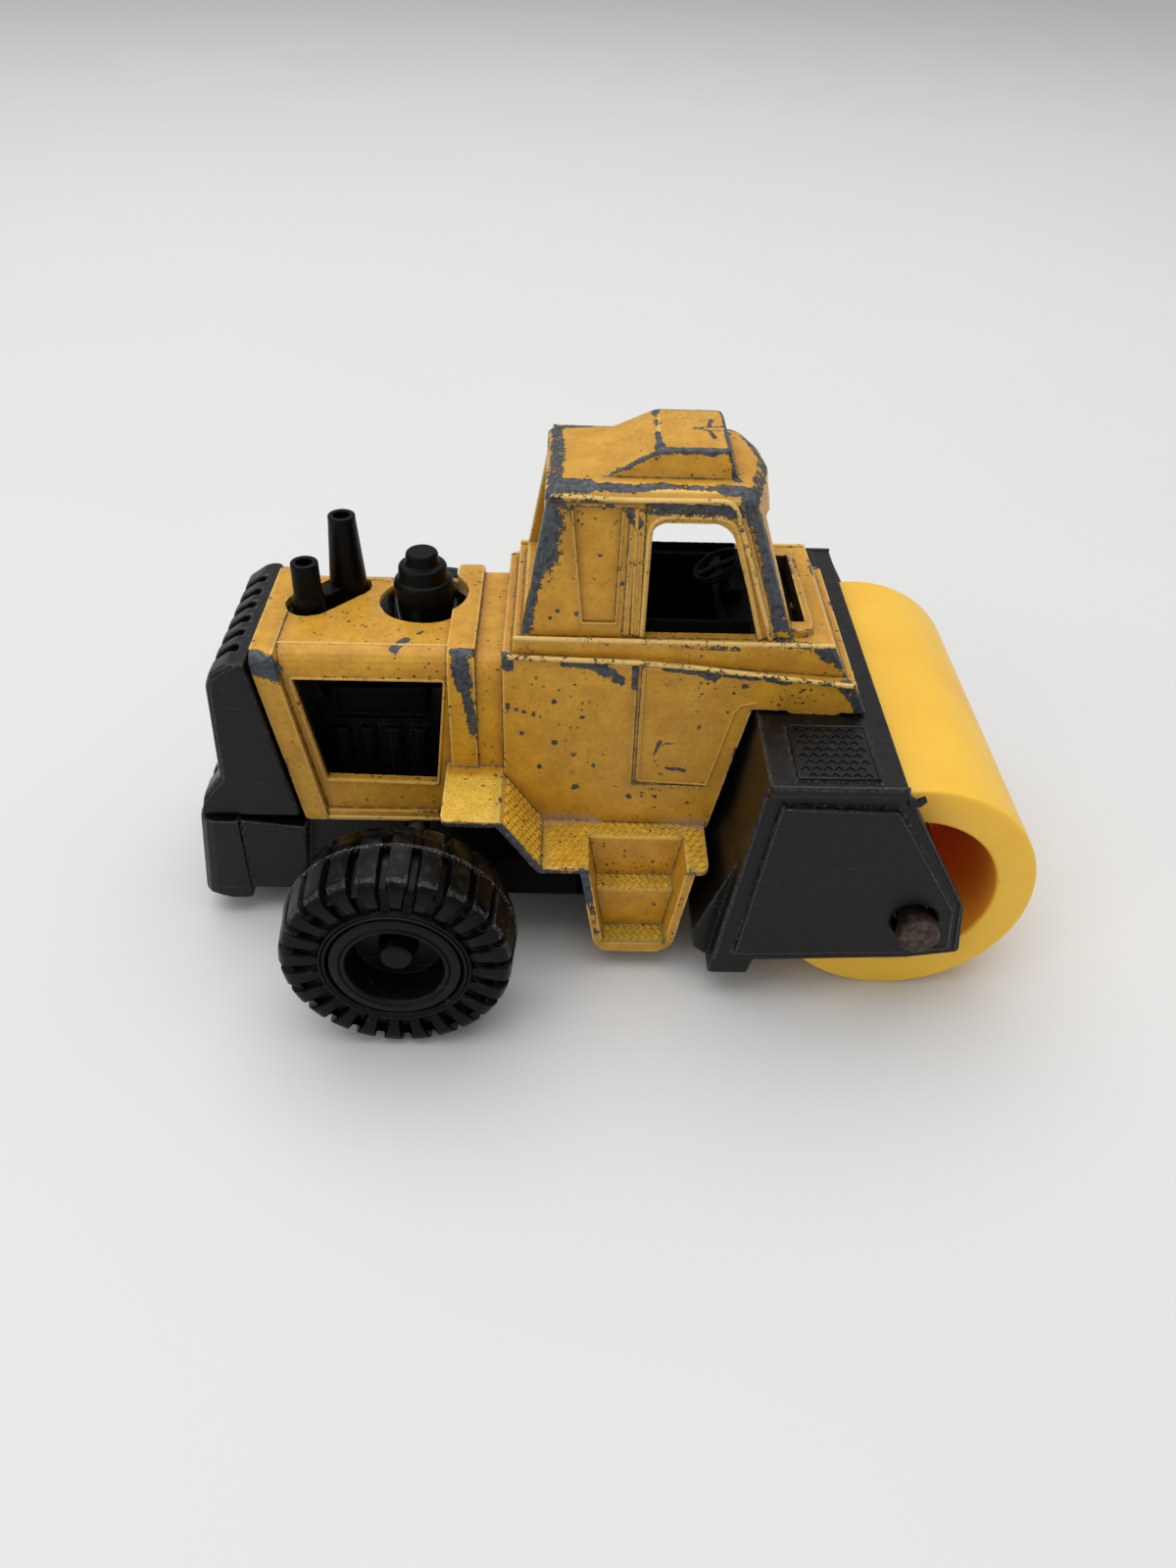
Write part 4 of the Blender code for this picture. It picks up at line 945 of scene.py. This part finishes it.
def make_cleaner():
    """Three-tier air cleaner with soft shoulders."""
    profile = [(0, 33.3), (2.2, 33.3), (2.2, 36.0), (3.4, 37.0), (3.75, 42.4), (3.5, 42.9), (3.1, 43.1)]
    profile += [(3.0, 44.6), (2.7, 44.9), (2.1, 45.0), (2.0, 46.3), (1.7, 46.6), (0, 46.6)]
    bm = lathe(rounded(profile, 0.25), 64, (1.1, 3.0, 0), "Z")
    plain_piece("air_cleaner", bm, *STACK, ("air_precleaner",), rim=0.8)


# --- running gear


def make_drum():
    """Smooth drum with soft rims, deep end recesses and a hub tube."""
    half = DRUM_HALF
    end = [(4.3, 20.5), (5.4, 20.5), (5.8, 5.0), (10.7, 5.0), (11.2, half), (DRUM_R, half)]
    end = rounded([(4.3, 0.0)] + end + [(DRUM_R, 0.0)], 0.55, 5)[1:-1]
    near = end + [(DRUM_R, half * part) for part in (0.8, 0.5, 0.2)]
    profile = near + [(r, -h) for r, h in reversed(near)]
    mesh = mesh_of("drum_shell", lathe(profile, 144, (DRUM_X, 0, DRUM_R)))
    points = np.array([v.co[:] for v in mesh.vertices])
    radius = np.hypot(points[:, 0] - DRUM_X, points[:, 2] - DRUM_R)
    # fields: deep and bore are painted shade in the end recesses and round the hub tube, glow a painted glow there
    inside = np.clip((11.5 - radius) / 0.4, 0, 1)
    depth = np.clip((half - np.abs(points[:, 1])) / 6.0, 0, 1)
    wide = np.clip((radius - 7.0) / 2.0, 0, 1)
    fields = {"deep": inside * (0.45 + 0.55 * depth), "glow": inside * wide, "bore": inside * (1 - wide)}
    show(mesh, "drum", "drum_roll", "drum_plastic", ("drum",), fields=fields)


def tyre_ring(half, shoulder):
    """Half section of the tyre, bead to crown: (radius, offset, lug depth, taper of the lug)."""
    top = shoulder - 13.4
    return [
        (7.62, half - 1.5, 0.0, 0.0), (7.75, half - 0.5, 0.0, 0.0), (8.0, half - 0.12, 0.0, 0.0),
        (8.3, half - 0.04, 0.0, 0.0), (8.42, half - 0.22, 0.0, 0.0), (8.55, half - 0.10, 0.0, 0.0),
        (8.8, half - 0.12, 0.0, 0.0), (8.95, half - 0.50, 0.1, 1.0), (9.25, half - 0.50, 0.5, 1.0),
        (9.7, half - 0.26, 0.9, 1.0), (10.5, half - 0.18, 1.05, 0.9), (11.7, half - 0.16, 1.15, 0.7),
        (12.35 + top, half - 0.22, 1.2, 0.5), (12.75 + top, half - 0.38, 1.2, 0.2),
        (13.12 + top, half - 0.72, 1.2, 0.0), (13.36 + top, half - 1.15, 1.15, 0.0),
        (13.46 + top * 0.8, half - 2.2, 1.1, 0.0), (13.56 + top * 0.4, half * 0.42, 1.1, 0.0),
        (13.62, 1.3, 1.1, 0.0), (13.64, 0.42, 1.05, 0.0), (13.66, 0.24, 0.0, 0.0), (13.79, 0.06, 0.0, 0.0),
    ]


LUG_END = 0.64


def lug_slant(part, taper):
    """How far a station moves along the pitch so that the lug narrows down the side wall."""
    if part <= LUG_END:
        return 0.10 * taper * math.cos(math.pi * part / LUG_END)
    return -0.10 * taper * math.cos(math.pi * (part - LUG_END) / (1 - LUG_END))


def make_tyre(side, word):
    """Lugged tyre: deep gaps between lugs that run from the crown's ridge to the side wall."""
    lugs = 24
    # place along one lug's pitch, and how far into the gap's depth the surface is there
    steps = ((0.0, 0.0), (0.03, 0.0), (0.12, 0.0), (0.32, 0.0), (0.52, 0.0), (0.61, 0.0), (LUG_END, 0.0))
    steps += ((0.66, 0.10), (0.685, 0.90), (0.71, 1.0), (0.82, 1.0), (0.93, 1.0), (0.955, 0.90), (0.98, 0.10))
    outer = [(r, side * h, d, t) for r, h, d, t in tyre_ring(6.2, 13.4)]
    inner = [(r, -side * h, d, t) for r, h, d, t in tyre_ring(5.0, 12.95)]
    section = outer + inner[::-1]
    bm = bmesh.new()
    loops, rims, nooks = [], [], []
    for i in range(lugs):
        for part, gap in steps:
            loop = []
            for radius, offset, depth, taper in section:
                drop = depth * gap
                wall = taper > 0.45
                r = radius - drop * (0.25 if wall else 1.0)
                h = offset - math.copysign(drop * (0.85 if wall else 0.0), offset)
                angle = math.tau * (i + part + lug_slant(part, taper)) / lugs
                spot = (r * math.sin(angle), side * WHEEL_Y + h, WHEEL_R + r * math.cos(angle))
                loop.append(bm.verts.new(spot))
                lug, outside = gap < 0.5, offset * side > -0.3
                # rim is small on the crown's ridge, the shoulders and the lug ends, where the tyre's finish lightens
                # the edges: partly wear from rubbing and dust, partly a painted highlight
                edge = abs(offset) < 0.1 or (13.0 < radius < 13.4 and abs(offset) > 3.0)
                end = min(abs(part - LUG_END), abs(part)) < 0.035 and depth > 0.5
                rims.append((0.10 if edge else 0.26 if end else 1.2) if outside and lug else 1.2)
                shoulder = radius > 12.2 and offset * side > 2.0 and lug
                nooks.append(0.0 if abs(offset) < 0.3 else 0.75 if shoulder else 1.2)
            loops.append(loop)
    skin(bm, loops + loops[:1], ends=False)
    given = dict(replaces=("tyre_" + word,), angle=40.0, rim=rims, nook=nooks)
    plain_piece("tyre_tread_" + word, bm, "tyre", "wheelset", "tyre_rubber", **given)


def make_hub(side, word):
    """Dished wheel hub with rings round its face and a raised nub over the axle."""
    face = 6.2
    profile = [(0.0, -2.6), (1.25, -2.6), (1.25, 4.4), (3.0, 4.4), (3.2, 0.6), (6.3, 0.6), (6.7, 5.0), (7.35, 4.7)]
    profile += [(7.35, -4.7), (7.62, -face + 0.35), (7.5, -face + 0.18), (6.5, -face + 0.05), (6.3, -face + 0.35)]
    profile += [(6.15, -face + 0.05), (5.85, -face), (5.65, -face + 0.3), (5.35, -3.6), (5.2, -2.0), (2.3, -1.9)]
    profile += [(1.95, -4.4), (1.6, -4.62), (0.0, -4.6)]
    profile = [(r, -side * h) for r, h in profile]
    bm = lathe(rounded(profile, 0.14, 3), 72, (0, side * WHEEL_Y, WHEEL_R))
    plain_piece("hub_dish_" + word, bm, "hub_black", "wheelset", "hub_plastic", ("wheel_hub_" + word,), rim=0.8)


def make_pin():
    """Steel pin with peened, slightly domed ends."""
    end = [(0, 30.25), (1.2, 30.22), (2.1, 30.1), (2.45, 29.7), (2.5, 29.2), (2.5, 28.1), (2.3, 27.85), (1.9, 27.8)]
    profile = [(r, -h) for r, h in end] + [(r, h) for r, h in reversed(end)]
    mesh = mesh_of("pin_steel", lathe(profile, 48, (PIN.x, 0, PIN.z)))
    show(mesh, "pin", "toy_body", "steel", ("drum_axle",))


def carried_over():
    """CAD nodes that are shown as they are, with a finish of their own."""
    for node in ("wheel_axle", "base_rivet", "frame_rivet"):
        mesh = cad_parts[node].data
        mesh.materials.clear()
        mesh.materials.append(LOOKS["steel"])


make_body()
make_trim()
make_treads()
make_pads()
make_yoke_lines()
make_small_castings()
make_blacks()
make_sills()
make_stacks()
make_cleaner()
make_drum()
for side, word in SIDES:
    make_tyre(side, word)
    make_hub(side, word)
make_pin()
carried_over()


# --- stage


def make_stage():
    bm = bmesh.new()
    bmesh.ops.create_grid(bm, x_segments=40, y_segments=40, size=1.5)
    mesh = bpy.data.meshes.new("floor")
    bm.to_mesh(mesh)
    bm.free()
    look = Look("pale_floor")
    tone = look.ramp(look.noise(0.01, 2.0), 0.3, 0.7)
    colour = look.mix(tone, (0.725, 0.725, 0.72), (0.735, 0.735, 0.73))
    mesh.materials.append(look.finish(colour, 0.6, None))
    place("floor", mesh)


def make_camera():
    """Camera at the photograph's angle: above the toy's right side, looking down."""
    yaw, pitch, roll = 0.026372, 0.675796, -0.033795
    forward = Vector((math.sin(yaw) * math.cos(pitch), math.cos(yaw) * math.cos(pitch), -math.sin(pitch)))
    right = Vector((math.cos(yaw), -math.sin(yaw), 0))
    down = forward.cross(right)
    right_r = math.cos(roll) * right + math.sin(roll) * down
    down_r = -math.sin(roll) * right + math.cos(roll) * down
    data = bpy.data.cameras.new("camera")
    data.lens = 27.605
    data.sensor_width = 36.0
    data.clip_start, data.clip_end = 0.005, 10.0
    camera = place("camera", data)
    turn = Matrix((right_r, -down_r, -forward)).transposed()
    camera.matrix_world = Matrix.Translation(Vector((-0.00490, -0.12988, 0.11696))) @ turn.to_4x4()
    bpy.context.scene.camera = camera


def area_light(name, spot, size, power):
    """A soft round light that points at the toy."""
    data = bpy.data.lights.new(name, "AREA")
    data.shape = "DISK"
    data.size = size
    data.energy = power
    light = place(name, data)
    light.location = spot
    light.rotation_euler = (Vector((0, 0, 0.02)) - Vector(spot)).to_track_quat("-Z", "Y").to_euler()


def make_lights():
    world = bpy.data.worlds.new("studio")
    bpy.context.scene.world = world
    world.use_nodes = True
    back = world.node_tree.nodes["Background"]
    back.inputs["Color"].default_value = (1.0, 1.0, 1.0, 1.0)
    back.inputs["Strength"].default_value = 0.46
    area_light("key", (-0.08, 0.12, 0.80), 1.2, 6.1)
    area_light("side", (-0.55, -0.45, 0.45), 0.4, 0.8)


make_stage()
make_camera()
make_lights()
bpy.context.scene.view_settings.view_transform = "Standard"
